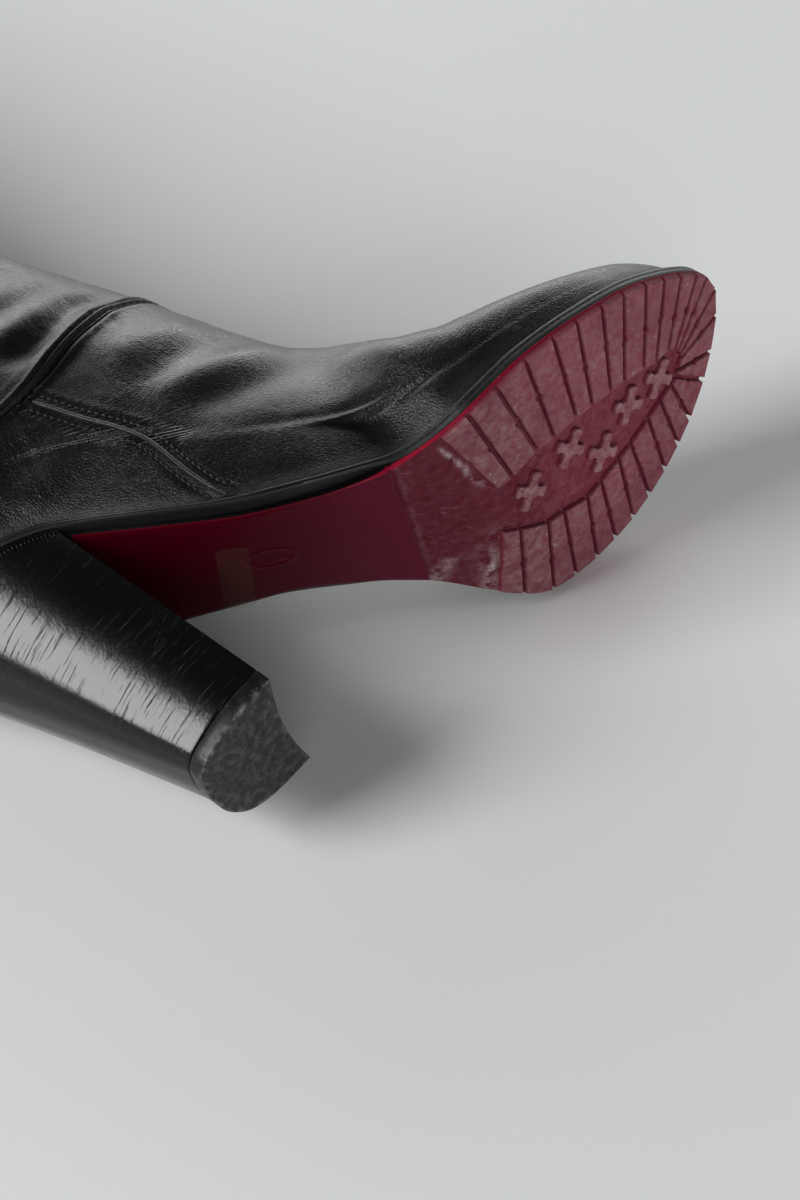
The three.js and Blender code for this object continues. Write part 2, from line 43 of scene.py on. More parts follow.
# ------------------------------------------------------------------ boot frame (mm, x toe, y medial, z up) to row frame (m)
TO_ROW = np.array([[0.013532305888728557, -0.07086433040728007, -0.9973941665025226],
                   [0.982250973707119, 0.18757138548141228, 0.0],
                   [0.18708260568195656, -0.9796913912169032, 0.07214483090796109]])
ORIGIN = np.array([229.64844544616213, -105.28713624166521, 16.86376392355256])
FLOOR_N = TO_ROW[2]


def to_row(p):
    return (np.asarray(p, float) @ TO_ROW.T + ORIGIN) / 1000.0


def floor_height(p):
    return np.asarray(p, float) @ FLOOR_N + ORIGIN[2]


# ------------------------------------------------------------------ sizes and tables, mm
X_BACK, X_TOE = 6.0, 222.0
T_SOLE, LUG, OUT_T, GAP, WELT, WALL = 6.0, 1.5, 2.7, 0.3, 2.4, 2.0
X_BREAST, LIFT_T, HEEL_FLARE = 54.0, 5.0, 0.88
X_FORE, X_SEAT = 170.0, 40.0
PLAN = np.array([  # x, medial y, lateral y
    (6, 0.5, 0.5), (9, 11, -10), (16, 20, -18.5), (28, 26, -24.5), (42, 28, -26.5), (54, 27, -26), (72, 19.5, -28.8),
    (93, 14.5, -31.2), (116, 21, -31), (128, 32.5, -33.8), (140, 42.3, -37.2), (152, 46.4, -37.2), (166, 47.2, -35.2),
    (180, 44.8, -31), (194, 38.8, -25.2), (206, 30.3, -17.2), (214, 21.2, -10.4), (219.5, 11.8, -4.2), (222, 3, 3)], float)
PROFILE = [(6, 93), (20, 89), (38, 82), (54, 71.9), (70, 50.5), (84.6, 31.8), (100, 18.6), (115.5, 9.4), (128, 3.2),
           (140, 0), (160, 0), (180, 0.35), (200, 1.3), (222, 3.2)]
ARCH = [(6, 0), (40, 0), (54, 4.9), (72, 11), (88, 13.3), (104, 9), (116, 4.8), (128, 1), (138, 0), (150, 0), (222, 0)]
RIM = [(6, 0.6), (30, 1), (54, 2.6), (72, 4.4), (90, 4.6), (108, 2.6), (118, 0.4), (130, 0), (222, 0)]
LEDGE = [(6, 0.5), (30, 0.8), (60, 1), (110, 1.4), (130, WELT), (150, WELT), (222, WELT)]
MID_BOTTOM = [(6, 2.9, 2.9), (50, 2.9, 3.1), (62, 2.7, 3.5), (104, 2.7, 3.4), (118, 3.05, 3.1), (130, 3.05, 3.05), (222, 3.05, 3.05)]
FOOT = [  # xb, xt, zt, yt, bulge medial, bulge lateral, waist, n
    (219.2, 218.2, 11.5, 3.0, 0.3, 0.3, 0.50, 2.0), (217.0, 214.5, 18.0, 3.5, 0.5, 0.5, 0.46, 1.9),
    (211.5, 208.0, 23.5, 4.0, 0.8, 0.8, 0.42, 1.8), (203.0, 199.0, 28.0, 4.5, 1.1, 1.1, 0.40, 1.75),
    (190.0, 186.0, 32.5, 5.0, 1.3, 1.3, 0.38, 1.7), (174.0, 170.5, 39.5, 5.5, 1.5, 1.6, 0.36, 1.7),
    (156.0, 154.5, 50.5, 6.0, 1.8, 1.8, 0.34, 1.7), (138.0, 145.0, 70.0, 6.0, 3.0, 2.0, 0.34, 1.75),
    (118.0, 138.5, 95.0, 5.5, 6.0, 2.0, 0.36, 1.8), (98.0, 134.0, 118.0, 5.0, 11.0, 2.5, 0.38, 1.85),
    (78.0, 129.5, 137.0, 4.0, 12.0, 3.5, 0.39, 1.9), (58.0, 126.0, 153.0, 3.0, 8.0, 5.0, 0.40, 2.0),
    (38.0, 122.5, 166.5, 2.0, 7.5, 7.0, 0.41, 2.0), (20.0, 120.0, 178.0, 1.5, 13.0, 13.0, 0.43, 2.0),
    (9.5, 118.0, 187.0, 1.0, 24.0, 24.0, 0.45, 2.0)]
LEG = [  # back x, z, front x, z, y, half-width, widest place, squareness
    (4.0, 112, 116.0, 197, 1.0, 35.0, 0.48, 2.1), (5.0, 134, 113.5, 210, 0.5, 36.5, 0.49, 2.1),
    (8.5, 160, 111.5, 227, 0.0, 39.0, 0.50, 2.1), (10.0, 192, 110.5, 246, 0.0, 42.0, 0.50, 2.1),
    (7.0, 228, 110.0, 270, 0.0, 45.5, 0.50, 2.1), (2.0, 268, 111.0, 299, 0.0, 49.0, 0.50, 2.1),
    (-3.5, 310, 113.0, 330, 0.0, 52.0, 0.50, 2.1), (-7.0, 352, 115.0, 364, 0.0, 54.0, 0.50, 2.1),
    (-8.0, 396, 116.0, 402, 0.0, 55.0, 0.50, 2.1), (-7.0, 432, 116.5, 434, 0.0, 55.0, 0.50, 2.1),
    (-6.0, 462, 117.0, 462, 0.0, 54.5, 0.50, 2.1)]
LIFT = [  # share from back to front corner, lateral x, y, medial x, y
    (0, 28.9, -5.6, 28.8, -4.6), (0.1, 29.2, -9.2, 28.9, -0.5), (0.25, 31.6, -12.5, 30.4, 6.6),
    (0.45, 37.0, -15.3, 34.6, 12.9), (0.7, 45.6, -17.9, 42.0, 16.5), (1, 57, -18.65, 57, 16.8)]
SEAM = [(-40, 124), (20, 118), (60, 112.5), (77.5, 108.6), (87.5, 112.2), (97, 115), (106, 117.6), (116, 121), (131, 125), (160, 134)]  # x, z of the ankle seam
QUARTER = [(77.4, 108.4), (79.3, 100.5), (81.4, 91.2), (83.4, 84), (85.0, 77.5), (85.8, 71), (85.5, 64.5), (84.9, 58), (84.4, 51), (84.4, 44.5), (85.6, 37.6)]  # x, z of the vamp's rear seam


# ------------------------------------------------------------------ curves
def curve(rows, col=1):
    xs = np.array([r[0] for r in rows], float)
    ys = np.array([r[col] for r in rows], float)
    n = len(xs)
    m = np.zeros(n)
    for i in range(1, n - 1):
        h0, h1 = xs[i] - xs[i - 1], xs[i + 1] - xs[i]
        d0, d1 = (ys[i] - ys[i - 1]) / h0, (ys[i + 1] - ys[i]) / h1
        m[i] = 0.0 if d0 * d1 <= 0 else (d0 * h1 + d1 * h0) / (h0 + h1)
    m[0] = 1.5 * (ys[1] - ys[0]) / (xs[1] - xs[0]) - 0.5 * m[1]
    m[-1] = 1.5 * (ys[-1] - ys[-2]) / (xs[-1] - xs[-2]) - 0.5 * m[-2]

    def f(q):
        q = np.asarray(q, float)
        i = np.clip(np.searchsorted(xs, q, side="right") - 1, 0, n - 2)
        h = xs[i + 1] - xs[i]
        t = np.clip((q - xs[i]) / h, 0, 1)
        return ((2 * t**3 - 3 * t**2 + 1) * ys[i] + (t**3 - 2 * t**2 + t) * h * m[i]
                + (3 * t**2 - 2 * t**3) * ys[i + 1] + (t**3 - t**2) * h * m[i + 1])
    return f


def mix(a, b, t):
    return a + (b - a) * t


def smooth(t):
    t = np.clip(t, 0, 1)
    return t * t * (3 - 2 * t)


def bump(d, w):
    """Smooth bell of half-width w."""
    return np.exp(-(d / w) ** 2)


def to_g(x):
    return np.arccos(1 - 2 * np.clip((np.asarray(x, float) - X_BACK) / (X_TOE - X_BACK), 0, 1)) / np.pi


def to_x(g):
    return X_BACK + (X_TOE - X_BACK) * (1 - np.cos(np.pi * np.asarray(g, float))) / 2


_g = to_g(PLAN[:, 0])
_pm = curve(np.c_[_g, PLAN[:, 1]])
_pl = curve(np.c_[_g, PLAN[:, 2]])
profile, arch, rim_out, ledge = curve(PROFILE), curve(ARCH), curve(RIM), curve(LEDGE)
_mc, _mr = curve(MID_BOTTOM, 1), curve(MID_BOTTOM, 2)


def mid_c(x):
    return _mc(x) - 0.26 * smooth((np.asarray(x, float) - 108) / 12)


def mid_r(x):
    return _mr(x) - 0.26 * smooth((np.asarray(x, float) - 108) / 12)


def plan(x, side):
    return _pm(to_g(x)) if side > 0 else _pl(to_g(x))


def rim(x, side):
    return plan(x, side) + side * rim_out(x)


def z_sole(x, y):
    a, b = plan(x, -1) - 0.01, plan(x, 1) + 0.01
    return profile(x) + arch(x) * np.clip((y - a) / (b - a), -0.3, 1.3)


def inward(x, side, d, at_back=0.0):
    x = np.asarray(x, float)
    q, t = x.copy(), np.zeros_like(x)
    f = x > X_FORE
    q = np.where(f, X_FORE + (x - X_FORE) * (X_TOE - X_FORE) / (X_TOE - d - X_FORE), q)
    t = np.where(f, np.clip((q - X_FORE) / (X_TOE - X_FORE), 0, 1), t)
    if at_back:
        b = x < X_SEAT
        q = np.where(b, X_SEAT - (X_SEAT - x) * (X_SEAT - X_BACK) / (X_SEAT - at_back - X_BACK), q)
        t = np.where(b, np.clip((X_SEAT - q) / (X_SEAT - X_BACK), 0, 1), t)
    return rim(q, side) - side * d * np.sqrt(np.clip(1 - t * t, 0, 1))


def feather(x, side):
    return inward(x, side, ledge(x))


# ------------------------------------------------------------------ meshes
def new_object(name, verts_mm, faces, smooth_shade=True, attrs=None):
    """Object from boot-frame points; keeps the boot-frame position as an attribute for the materials."""
    verts_mm = np.asarray(verts_mm, float)
    me = bpy.data.meshes.new(name)
    me.from_pydata([tuple(v) for v in to_row(verts_mm)], [], [tuple(int(i) for i in f) for f in faces])
    me.validate()
    ob = bpy.data.objects.new(name, me)
    bpy.context.scene.collection.objects.link(ob)
    bm = bmesh.new()
    bm.from_mesh(me)
    bmesh.ops.recalc_face_normals(bm, faces=bm.faces)
    bm.to_mesh(me)
    bm.free()
    if smooth_shade:
        me.shade_smooth()
    if len(me.vertices) == len(verts_mm):
        at = me.attributes.new("boot", "FLOAT_VECTOR", "POINT")
        at.data.foreach_set("vector", (verts_mm / 1000.0).astype(np.float32).ravel())
        for k, v in (attrs or {}).items():
            v = np.asarray(v, np.float32)
            if v.ndim == 1:
                a = me.attributes.new(k, "FLOAT", "POINT")
                a.data.foreach_set("value", v)
            else:
                a = me.attributes.new(k, "FLOAT_VECTOR", "POINT")
                a.data.foreach_set("vector", v.ravel())
    return ob


def boot_attr(ob):
    """Boot-frame attribute for a mesh whose points changed."""
    me = ob.data
    co = np.zeros(len(me.vertices) * 3, np.float32)
    me.vertices.foreach_get("co", co)
    p = (co.reshape(-1, 3) * 1000.0 - ORIGIN) @ TO_ROW
    at = me.attributes.get("boot") or me.attributes.new("boot", "FLOAT_VECTOR", "POINT")
    at.data.foreach_set("vector", (p / 1000.0).astype(np.float32).ravel())


def grid_faces(nu, nv, wrap=False, base=0):
    i, j = np.meshgrid(np.arange(nu - 1), np.arange(nv if wrap else nv - 1), indexing="ij")
    a = i * nv + j
    b = i * nv + (j + 1) % nv
    return (np.stack([a, b, b + nv, a + nv], -1).reshape(-1, 4) + base)


def shade_by_angle(ob, deg=35):
    ob.data.shade_smooth()
    ob.data.set_sharp_from_angle(angle=math.radians(deg))


def put(ob, material, slot, *replaced):
    ob.data.materials.clear()
    ob.data.materials.append(material)
    if replaced:
        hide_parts(*replaced)
    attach(ob, "root")
    return ob


# ------------------------------------------------------------------ material helpers
class Nodes:
    def __init__(self, name):
        self.m = bpy.data.materials.new(name)
        self.m.use_nodes = True
        self.t = self.m.node_tree
        self.t.nodes.clear()
        self.out = self.t.nodes.new("ShaderNodeOutputMaterial")
        self.b = self.t.nodes.new("ShaderNodeBsdfPrincipled")
        self.t.links.new(self.b.outputs[0], self.out.inputs[0])

    def n(self, kind, **kw):
        nd = self.t.nodes.new(kind)
        for k, v in kw.items():
            setattr(nd, k, v)
        return nd

    def put(self, sock, v):
        if hasattr(v, "is_output") or isinstance(v, bpy.types.NodeSocket):
            self.t.links.new(v, sock)
        else:
            sock.default_value = v

    def math(self, op, a, b=None, c=None, clamp=False):
        nd = self.n("ShaderNodeMath", operation=op, use_clamp=clamp)
        self.put(nd.inputs[0], a)
        if b is not None:
            self.put(nd.inputs[1], b)
        if c is not None:
            self.put(nd.inputs[2], c)
        return nd.outputs[0]

    def attr(self, name, vec=False):
        nd = self.n("ShaderNodeAttribute", attribute_name=name)
        return nd.outputs["Vector"] if vec else nd.outputs["Fac"]

    def mapping(self, v, scale=(1, 1, 1), rot=(0, 0, 0), loc=(0, 0, 0)):
        nd = self.n("ShaderNodeMapping")
        self.put(nd.inputs["Vector"], v)
        nd.inputs["Scale"].default_value = scale
        nd.inputs["Rotation"].default_value = rot
        nd.inputs["Location"].default_value = loc
        return nd.outputs[0]

    def noise(self, v, scale, detail=3.0, rough=0.5, dist=0.0, color=False):
        nd = self.n("ShaderNodeTexNoise")
        self.put(nd.inputs["Vector"], v)
        nd.inputs["Scale"].default_value = scale
        nd.inputs["Detail"].default_value = detail
        nd.inputs["Roughness"].default_value = rough
        nd.inputs["Distortion"].default_value = dist
        return nd.outputs["Color" if color else "Fac"]

    def voronoi(self, v, scale, feature="F1", rand=1.0):
        nd = self.n("ShaderNodeTexVoronoi", feature=feature)
        self.put(nd.inputs["Vector"], v)
        nd.inputs["Scale"].default_value = scale
        nd.inputs["Randomness"].default_value = rand
        return nd.outputs["Distance"]

    def ramp(self, v, *stops):
        nd = self.n("ShaderNodeValToRGB")
        self.put(nd.inputs[0], v)
        e = nd.color_ramp.elements
        while len(e) < len(stops):
            e.new(0.5)
        for el, (p, c) in zip(e, stops):
            el.position = p
            el.color = (c, c, c, 1) if not isinstance(c, (tuple, list)) else (*c, 1)
        return nd.outputs[0]

    def mixc(self, f, a, b):
        nd = self.n("ShaderNodeMix", data_type="RGBA")
        self.put(nd.inputs[0], f)
        self.put(nd.inputs[6], a if not isinstance(a, tuple) else (*a, 1))
        self.put(nd.inputs[7], b if not isinstance(b, tuple) else (*b, 1))
        return nd.outputs[2]

    def along(self, v, axis, lo, hi):
        sp = self.n("ShaderNodeSeparateXYZ")
        self.put(sp.inputs[0], v)
        mr = self.n("ShaderNodeMapRange", interpolation_type="SMOOTHSTEP")
        self.put(mr.inputs[0], sp.outputs[axis])
        mr.inputs[1].default_value = lo
        mr.inputs[2].default_value = hi
        return mr.outputs[0]

    def add_vec(self, a, b, k):
        s = self.n("ShaderNodeVectorMath", operation="SCALE")
        self.put(s.inputs[0], b)
        s.inputs[3].default_value = k
        d = self.n("ShaderNodeVectorMath", operation="ADD")
        self.put(d.inputs[0], a)
        self.t.links.new(s.outputs[0], d.inputs[1])
        return d.outputs[0]

    def bump(self, h, dist, strength=1.0, normal=None):
        nd = self.n("ShaderNodeBump")
        self.put(nd.inputs["Height"], h)
        nd.inputs["Distance"].default_value = dist
        nd.inputs["Strength"].default_value = strength
        if normal is not None:
            self.t.links.new(normal, nd.inputs["Normal"])
        return nd.outputs[0]

    def done(self, color, rough, normal=None, **kw):
        self.put(self.b.inputs["Base Color"], (*color, 1) if isinstance(color, tuple) else color)
        self.put(self.b.inputs["Roughness"], rough)
        if normal is not None:
            self.t.links.new(normal, self.b.inputs["Normal"])
        for k, v in kw.items():
            self.b.inputs[k.replace("_", " ")].default_value = v
        return self.m


def leather_material(name, rough=0.30, grain=1.0, tint=(0.0042, 0.0044, 0.0047)):
    k = Nodes(name)
    P = k.attr("boot", True)
    warp = k.noise(P, 180, 2, color=True)
    Pw = k.add_vec(P, warp, 0.0022)
    cells = k.voronoi(Pw, 1150, "DISTANCE_TO_EDGE")
    cells2 = k.voronoi(Pw, 620, "DISTANCE_TO_EDGE")
    g1 = k.ramp(cells, (0.0, 0.0), (0.22, 1.0))
    g2 = k.ramp(cells2, (0.0, 0.0), (0.12, 1.0))
    fine = k.noise(P, 2600, 3, 0.6)
    # directional creasing of soft leather, strongest where the mask says it flexes
    Pd = k.mapping(k.add_vec(P, k.noise(P, 60, 2, color=True), 0.010), scale=(1.0, 0.35, 0.35), rot=(0, math.radians(-38), 0))
    wr = k.noise(k.mapping(Pd, scale=(900, 160, 160)), 1.0, 4, 0.62)
    wr2 = k.noise(k.mapping(Pd, scale=(420, 90, 90)), 1.0, 4, 0.6)
    flex = k.attr("flex")
    h = k.math("MULTIPLY", g1, 0.42)
    h = k.math("ADD", h, k.math("MULTIPLY", g2, 0.22))
    h = k.math("ADD", h, k.math("MULTIPLY", fine, 0.32))
    h = k.math("ADD", h, k.math("MULTIPLY", wr, k.math("MULTIPLY_ADD", flex, 1.1, 0.30)))
    n1 = k.bump(h, 0.00012 * grain, 0.75)
    n2 = k.bump(wr2, 0.00050, 1.0, n1)
    nd = n2.node
    k.put(nd.inputs["Strength"], k.math("MULTIPLY_ADD", flex, 0.62, 0.10))
    big = k.noise(P, 28, 4, 0.55)
    mid = k.noise(P, 130, 4, 0.6)
    r = k.math("ADD", rough - 0.12, k.math("MULTIPLY", big, 0.16))
    r = k.math("ADD", r, k.math("MULTIPLY", k.ramp(cells, (0.0, 1.0), (0.2, 0.0)), 0.10))
    r = k.math("ADD", r, k.math("MULTIPLY", mid, 0.08))
    wear = k.attr("wear")
    col = k.mixc(k.ramp(big, (0.3, 0.0), (0.75, 1.0)), tuple(c * 0.8 for c in tint), tuple(c * 1.35 for c in tint))
    dust = k.math("MULTIPLY", k.ramp(mid, (0.42, 0.0), (0.75, 1.0)), 0.22)
    col = k.mixc(k.math("MULTIPLY", dust, 0.35), col, (0.035, 0.035, 0.034))
    col = k.mixc(k.math("MULTIPLY", wear, 0.55), col, (0.045, 0.044, 0.043))
    r = k.math("ADD", r, k.math("MULTIPLY", wear, 0.10))
    return k.done(col, r, n2, Specular_IOR_Level=0.48, Coat_Weight=0.0)


def thread_material(name, tint=(0.006, 0.006, 0.006)):
    k = Nodes(name)
    P = k.attr("boot", True)
    tw = k.noise(P, 5200, 2, 0.6)
    col = k.mixc(tw, tint, tuple(c * 4 for c in tint))
    return k.done(col, k.math("MULTIPLY_ADD", tw, 0.2, 0.32), k.bump(tw, 0.00008), Specular_IOR_Level=0.5)


M_LEATHER = leather_material("upper_leather_grain")
M_SHAFT = leather_material("shaft_leather_grain", rough=0.34)
M_THREAD = thread_material("stitch_thread")


# ------------------------------------------------------------------ the upper's surface
def resolved():
    rows = []
    for xb, xt, zt, yt, bm, bl, sw, n in FOOT:
        m, l = float(feather(xb, 1)), float(feather(xb, -1))
        yb = (m + l) / 2
        zm, zl = float(z_sole(xb, m)) + T_SOLE + GAP, float(z_sole(xb, l)) + T_SOLE + GAP
        rows.append([xb, (zm + zl) / 2, yb, xt, zt, yt, m - yb, yb - l, m - yb + bm, yb - l + bl, sw, n, (zm - zl) / 2])
    for xb, zb, xt, zt, yt, w, sw, n in LEG:
        rows.append([xb, zb, 0.5, xt, zt, yt, 0.4, 0.4, w, w, sw, n, 0.0])
    return np.array(rows, float)


ROWS = resolved()
N_FOOT, N_ROWS = len(FOOT), len(ROWS)
ROW_CURVES = [curve(np.c_[np.arange(N_ROWS), ROWS[:, c]]) for c in range(ROWS.shape[1])]


def section(u, v, wall=0.0):
    """Point of the upper at row u and share v: 0 lateral feather, 0.5 ridge, 1 medial feather. Arrays of one shape."""
    xb, zb, yb, xt, zt, yt, wfm, wfl, wmm, wml, sw, n, roll = [f(u) for f in ROW_CURVES]
    side = np.where(v < 0.5, -1.0, 1.0)
    t = np.where(v < 0.5, v * 2, (1 - v) * 2)          # 0 at the feather, 1 at the ridge
    wf, wm = np.where(side < 0, wfl, wfm), np.where(side < 0, wml, wmm)
    wf, wm = np.maximum(wf - wall, 0.3), wm - wall
    ln = np.hypot(xt - xb, zt - zb)
    x0, z0 = mix(xb, xt, wall / ln * 0.6), mix(zb, zt, wall / ln * 0.6)
    x1, z1 = mix(xb, xt, 1 - wall / ln), mix(zb, zt, 1 - wall / ln)
    n1 = 2.1
    r = np.minimum(np.maximum(wf, 0.05) / wm, 0.985)
    a = sw / (1 - r**n1) ** (1 / n1)
    th0 = np.arcsin(np.minimum(1, (sw / a) ** (n1 / 2)))
    split = 0.36
    lo = t < split
    th = th0 * (1 - np.clip(t / split, 0, 1))
    s1, h1 = sw - a * np.abs(np.sin(th)) ** (2 / n1), wm * np.abs(np.cos(th)) ** (2 / n1)
    ph = np.pi / 2 * np.clip((t - split) / (1 - split), 0, 1)
    s2, h2 = sw + (1 - sw) * np.abs(np.sin(ph)) ** (2 / n), wm * np.abs(np.cos(ph)) ** (2 / n)
    s, h = np.where(lo, s1, s2), np.where(lo, h1, h2)
    z = mix(z0, z1, s) + side * roll * np.clip(1 - s / sw, 0, 1)
    return np.stack([mix(x0, x1, s), mix(yb, yt, s) + side * h, z], -1)


seam_z = curve(SEAM)


def seam_rows(v):
    """Row number where each column v crosses the ankle seam."""
    uu = np.linspace(0, N_ROWS - 1, 1600)
    U, V = np.meshgrid(uu, v, indexing="ij")
    p = section(U, V)
    above = p[..., 2] - seam_z(p[..., 0])
    out = np.empty(len(v))
    for j in range(len(v)):
        i = int(np.argmax(above[:, j] > 0))
        i = max(i, 1)
        a, b = above[i - 1, j], above[i, j]
        out[j] = mix(uu[i - 1], uu[i], float(np.clip(-a / (b - a), 0, 1)))
    return out


def normals_of(P):
    du = np.gradient(P, axis=0)
    dv = np.gradient(P, axis=1)
    n = np.cross(dv, du)
    l = np.linalg.norm(n, axis=-1, keepdims=True)
    n = n / np.maximum(l, 1e-9)
    c = P.mean(axis=1, keepdims=True)
    s = np.sign(((P - c) * n).sum(-1).mean())
    return n * s


def polyline_on(side, table, P, step=0.6):
    """A side-view table (x, z) laid on the surface P of one side, as a dense smooth polyline."""
    t = np.array(table, float)
    q = np.linspace(0, len(t) - 1, 400)
    fx, fz = curve(np.c_[np.arange(len(t)), t[:, 0]]), curve(np.c_[np.arange(len(t)), t[:, 1]])
    x, z = fx(q), fz(q)
    flat = P.reshape(-1, 3)
    half = flat[(flat[:, 1] * side > 2)]
    kd = KDTree(len(half))
    for i, p in enumerate(half):
        kd.insert((p[0], 0, p[2]), i)
    kd.balance()
    y = []
    for a, b in zip(x, z):
        near = kd.find_n((a, 0, b), 6)
        w = np.array([1 / (d + 0.05) for _, _, d in near])
        y.append(float((w * np.array([half[i][1] for _, i, _ in near])).sum() / w.sum()))
    y = np.array(y)
    y = np.convolve(np.pad(y, 6, mode="edge"), np.ones(13) / 13, mode="valid")
    pts = np.c_[x, y, z]
    d = np.r_[0, np.cumsum(np.linalg.norm(np.diff(pts, axis=0), axis=1))]
    m = max(int(d[-1] / step), 2)
    s = np.linspace(0, d[-1], m)
    return np.stack([np.interp(s, d, pts[:, c]) for c in range(3)], -1)


def signed_side_distance(P, line, side):
    """Distance in space from points to a polyline, signed by the side view (positive ahead of it, towards +x)."""
    kd = KDTree(len(line))
    for i, p in enumerate(line):
        kd.insert(p, i)
    kd.balance()
    flat = P.reshape(-1, 3)
    d = np.full(len(flat), 99.0)
    tang = np.gradient(line, axis=0)
    lo, hi = line.min(0) - 16, line.max(0) + 16
    near = np.where(((flat > lo) & (flat < hi)).all(1) & (flat[:, 1] * side > 0))[0]
    for i in near:
        p = flat[i]
        _, j, dist = kd.find(p)
        t = tang[j]
        c = (p[0] - line[j][0]) * t[2] - (p[2] - line[j][2]) * t[0]
        d[i] = dist * (1 if c > 0 else -1)
    return d.reshape(P.shape[:-1])


# soft folds of the worn leather: side-view points (x, z), side, depth (negative is a trough), half-width, mm
FOLDS = [
    ([(123, 127), (116, 129.5), (110, 129.5), (102, 127), (94, 125), (86, 126), (76, 130)], -1, -3.0, 4.2),
    ([(118, 122.5), (111, 125), (103, 122.5), (95, 119.5), (87, 117), (81, 114.5)], -1, 1.5, 3.4),
    ([(134, 90), (122, 85), (111, 86.5), (101, 88), (92, 91)], -1, -1.6, 6.5),
    ([(137, 79), (125, 74.5), (114, 76.5), (104, 80), (95, 86)], -1, 1.2, 5.5),
    ([(141, 60), (132, 58), (122, 60), (112, 64.5), (103, 70), (94, 78)], -1, -1.2, 6.5),
    ([(128, 104), (118, 101), (106, 101), (95, 103)], -1, 0.9, 6.0),
    ([(72, 101), (62, 97), (52, 95), (40, 97)], -1, -1.0, 6.0),
    ([(72, 92), (60, 87), (48, 86)], -1, 0.9, 5.0),
    ([(120, 146), (108, 143), (96, 144), (80, 150), (60, 158)], -1, -2.2, 6.0),
    ([(118, 168), (100, 163), (78, 166), (52, 176)], -1, -2.4, 8.0),
    ([(116, 196), (96, 190), (70, 194), (40, 205)], -1, -1.8, 9.0),
    ([(30, 140), (46, 146), (60, 158)], -1, 1.4, 7.0),
    ([(123, 127), (112, 129), (98, 126), (84, 126)], 1, -2.4, 4.5),
    ([(132, 92), (120, 87), (106, 87), (92, 92)], 1, -1.6, 7.0),
    ([(120, 148), (100, 144), (76, 151)], 1, -2.2, 7.0),
    ([(116, 178), (92, 171), (60, 180)], 1, -2.2, 9.0),
    ([(114, 214), (88, 206), (50, 214)], 1, -1.6, 10.0),
    ([(110, 250), (80, 243), (40, 252)], -1, -1.3, 11.0),
    ([(108, 300), (70, 292), (20, 304)], 1, -1.2, 13.0),
    ([(152, 48), (148, 40), (147, 30), (149, 20)], -1, -0.55, 3.0),
    ([(160, 44), (156, 36), (155, 27), (157, 18)], -1, -0.45, 2.6),
    ([(143, 56), (139, 44), (138, 32), (140, 20)], -1, -0.6, 3.4),
    ([(152, 48), (148, 40), (147, 30), (149, 20)], 1, -0.7, 3.2),
    ([(162, 44), (158, 36), (157, 27), (158, 18)], 1, -0.5, 2.8),
    ([(141, 58), (137, 46), (136, 34), (138, 22)], 1, -0.7, 3.6),
]


def soft_noise(P, scale, seed, octaves=3):
    """Smooth sum of sines in space: a slow undulation, the same on every run."""
    r = np.random.default_rng(seed)
    out = np.zeros(P.shape[:-1])
    for o in range(octaves):
        for _ in range(5):
            k = r.normal(size=3)
            k *= (2 * np.pi / scale) * (1.7**o) / np.linalg.norm(k)
            out += np.sin(P @ k + r.uniform(0, 6.28)) / (5 * 1.6**o)
    return out


def eased(P, v):
    """Rounds the surface across its widest line, where the two arcs of a section meet."""
    m = (0.5 * (bump(v - 0.18, 0.045) + bump(v - 0.82, 0.045)))[None, 1:-1, None]
    P = P.copy()
    for _ in range(140):
        P[:, 1:-1] += m * ((P[:, :-2] + P[:, 2:]) / 2 - P[:, 1:-1]) * 1.0
    return P


def leather_grid(nu_foot, nu_leg, nv):
    v = np.linspace(0, 1, nv)
    us = seam_rows(v)
    # stations away from the seam, with close rows beside it
    near = np.r_[0, 0.35, 0.7, 1.05, 1.4, 1.75, 2.1, 2.5, 2.9, 3.4, 4.0, 4.8, 5.8, 7.0, 8.4]
    P0 = section(np.broadcast_to(us, (1, nv)), v[None, :])[0]
    step = 0.02
    Pb = section((us - step)[None, :], v[None, :])[0]
    Pa = section((us + step)[None, :], v[None, :])[0]
    below = np.linalg.norm(Pb - P0, axis=1) / step
    above = np.linalg.norm(Pa - P0, axis=1) / step
    foot_rows = []
    a = 1 - np.cos(np.linspace(0, np.pi / 2, nu_foot + 1)[:-1])      # close rows at the toe
    a = np.linspace(0, 1, nu_foot + 1)[:-1] * 0.55 + a * 0.45
    end = us - near[-1] / below
    for t in a:
        foot_rows.append(end * t)
    for d in near[::-1]:
        foot_rows.append(us - d / below)
    leg_rows = []
    for d in near:
        leg_rows.append(us + d / above)
    start = us + near[-1] / above
    for t in np.linspace(0, 1, nu_leg + 1)[1:]:
        leg_rows.append(start + (N_ROWS - 1 - start) * t)
    UF, UL = np.array(foot_rows), np.array(leg_rows)
    V = np.broadcast_to(v, UF.shape)
    return UF, eased(section(UF, V), v), UL, eased(section(UL, np.broadcast_to(v, UL.shape)), v), v, near


NV = 262
UF, PF, UL, PL, VV, NEAR = leather_grid(325, 330, NV)
NF, NL = normals_of(PF), normals_of(PL)
QUARTER_LINES = {s: polyline_on(s, QUARTER, PF) for s in (-1, 1)}
ALL_P = np.concatenate([PF, PL])
FOLD_LINES = [(polyline_on(s, t, ALL_P, 1.5), s, 0.62 * dep, 1.15 * w) for t, s, dep, w in FOLDS]


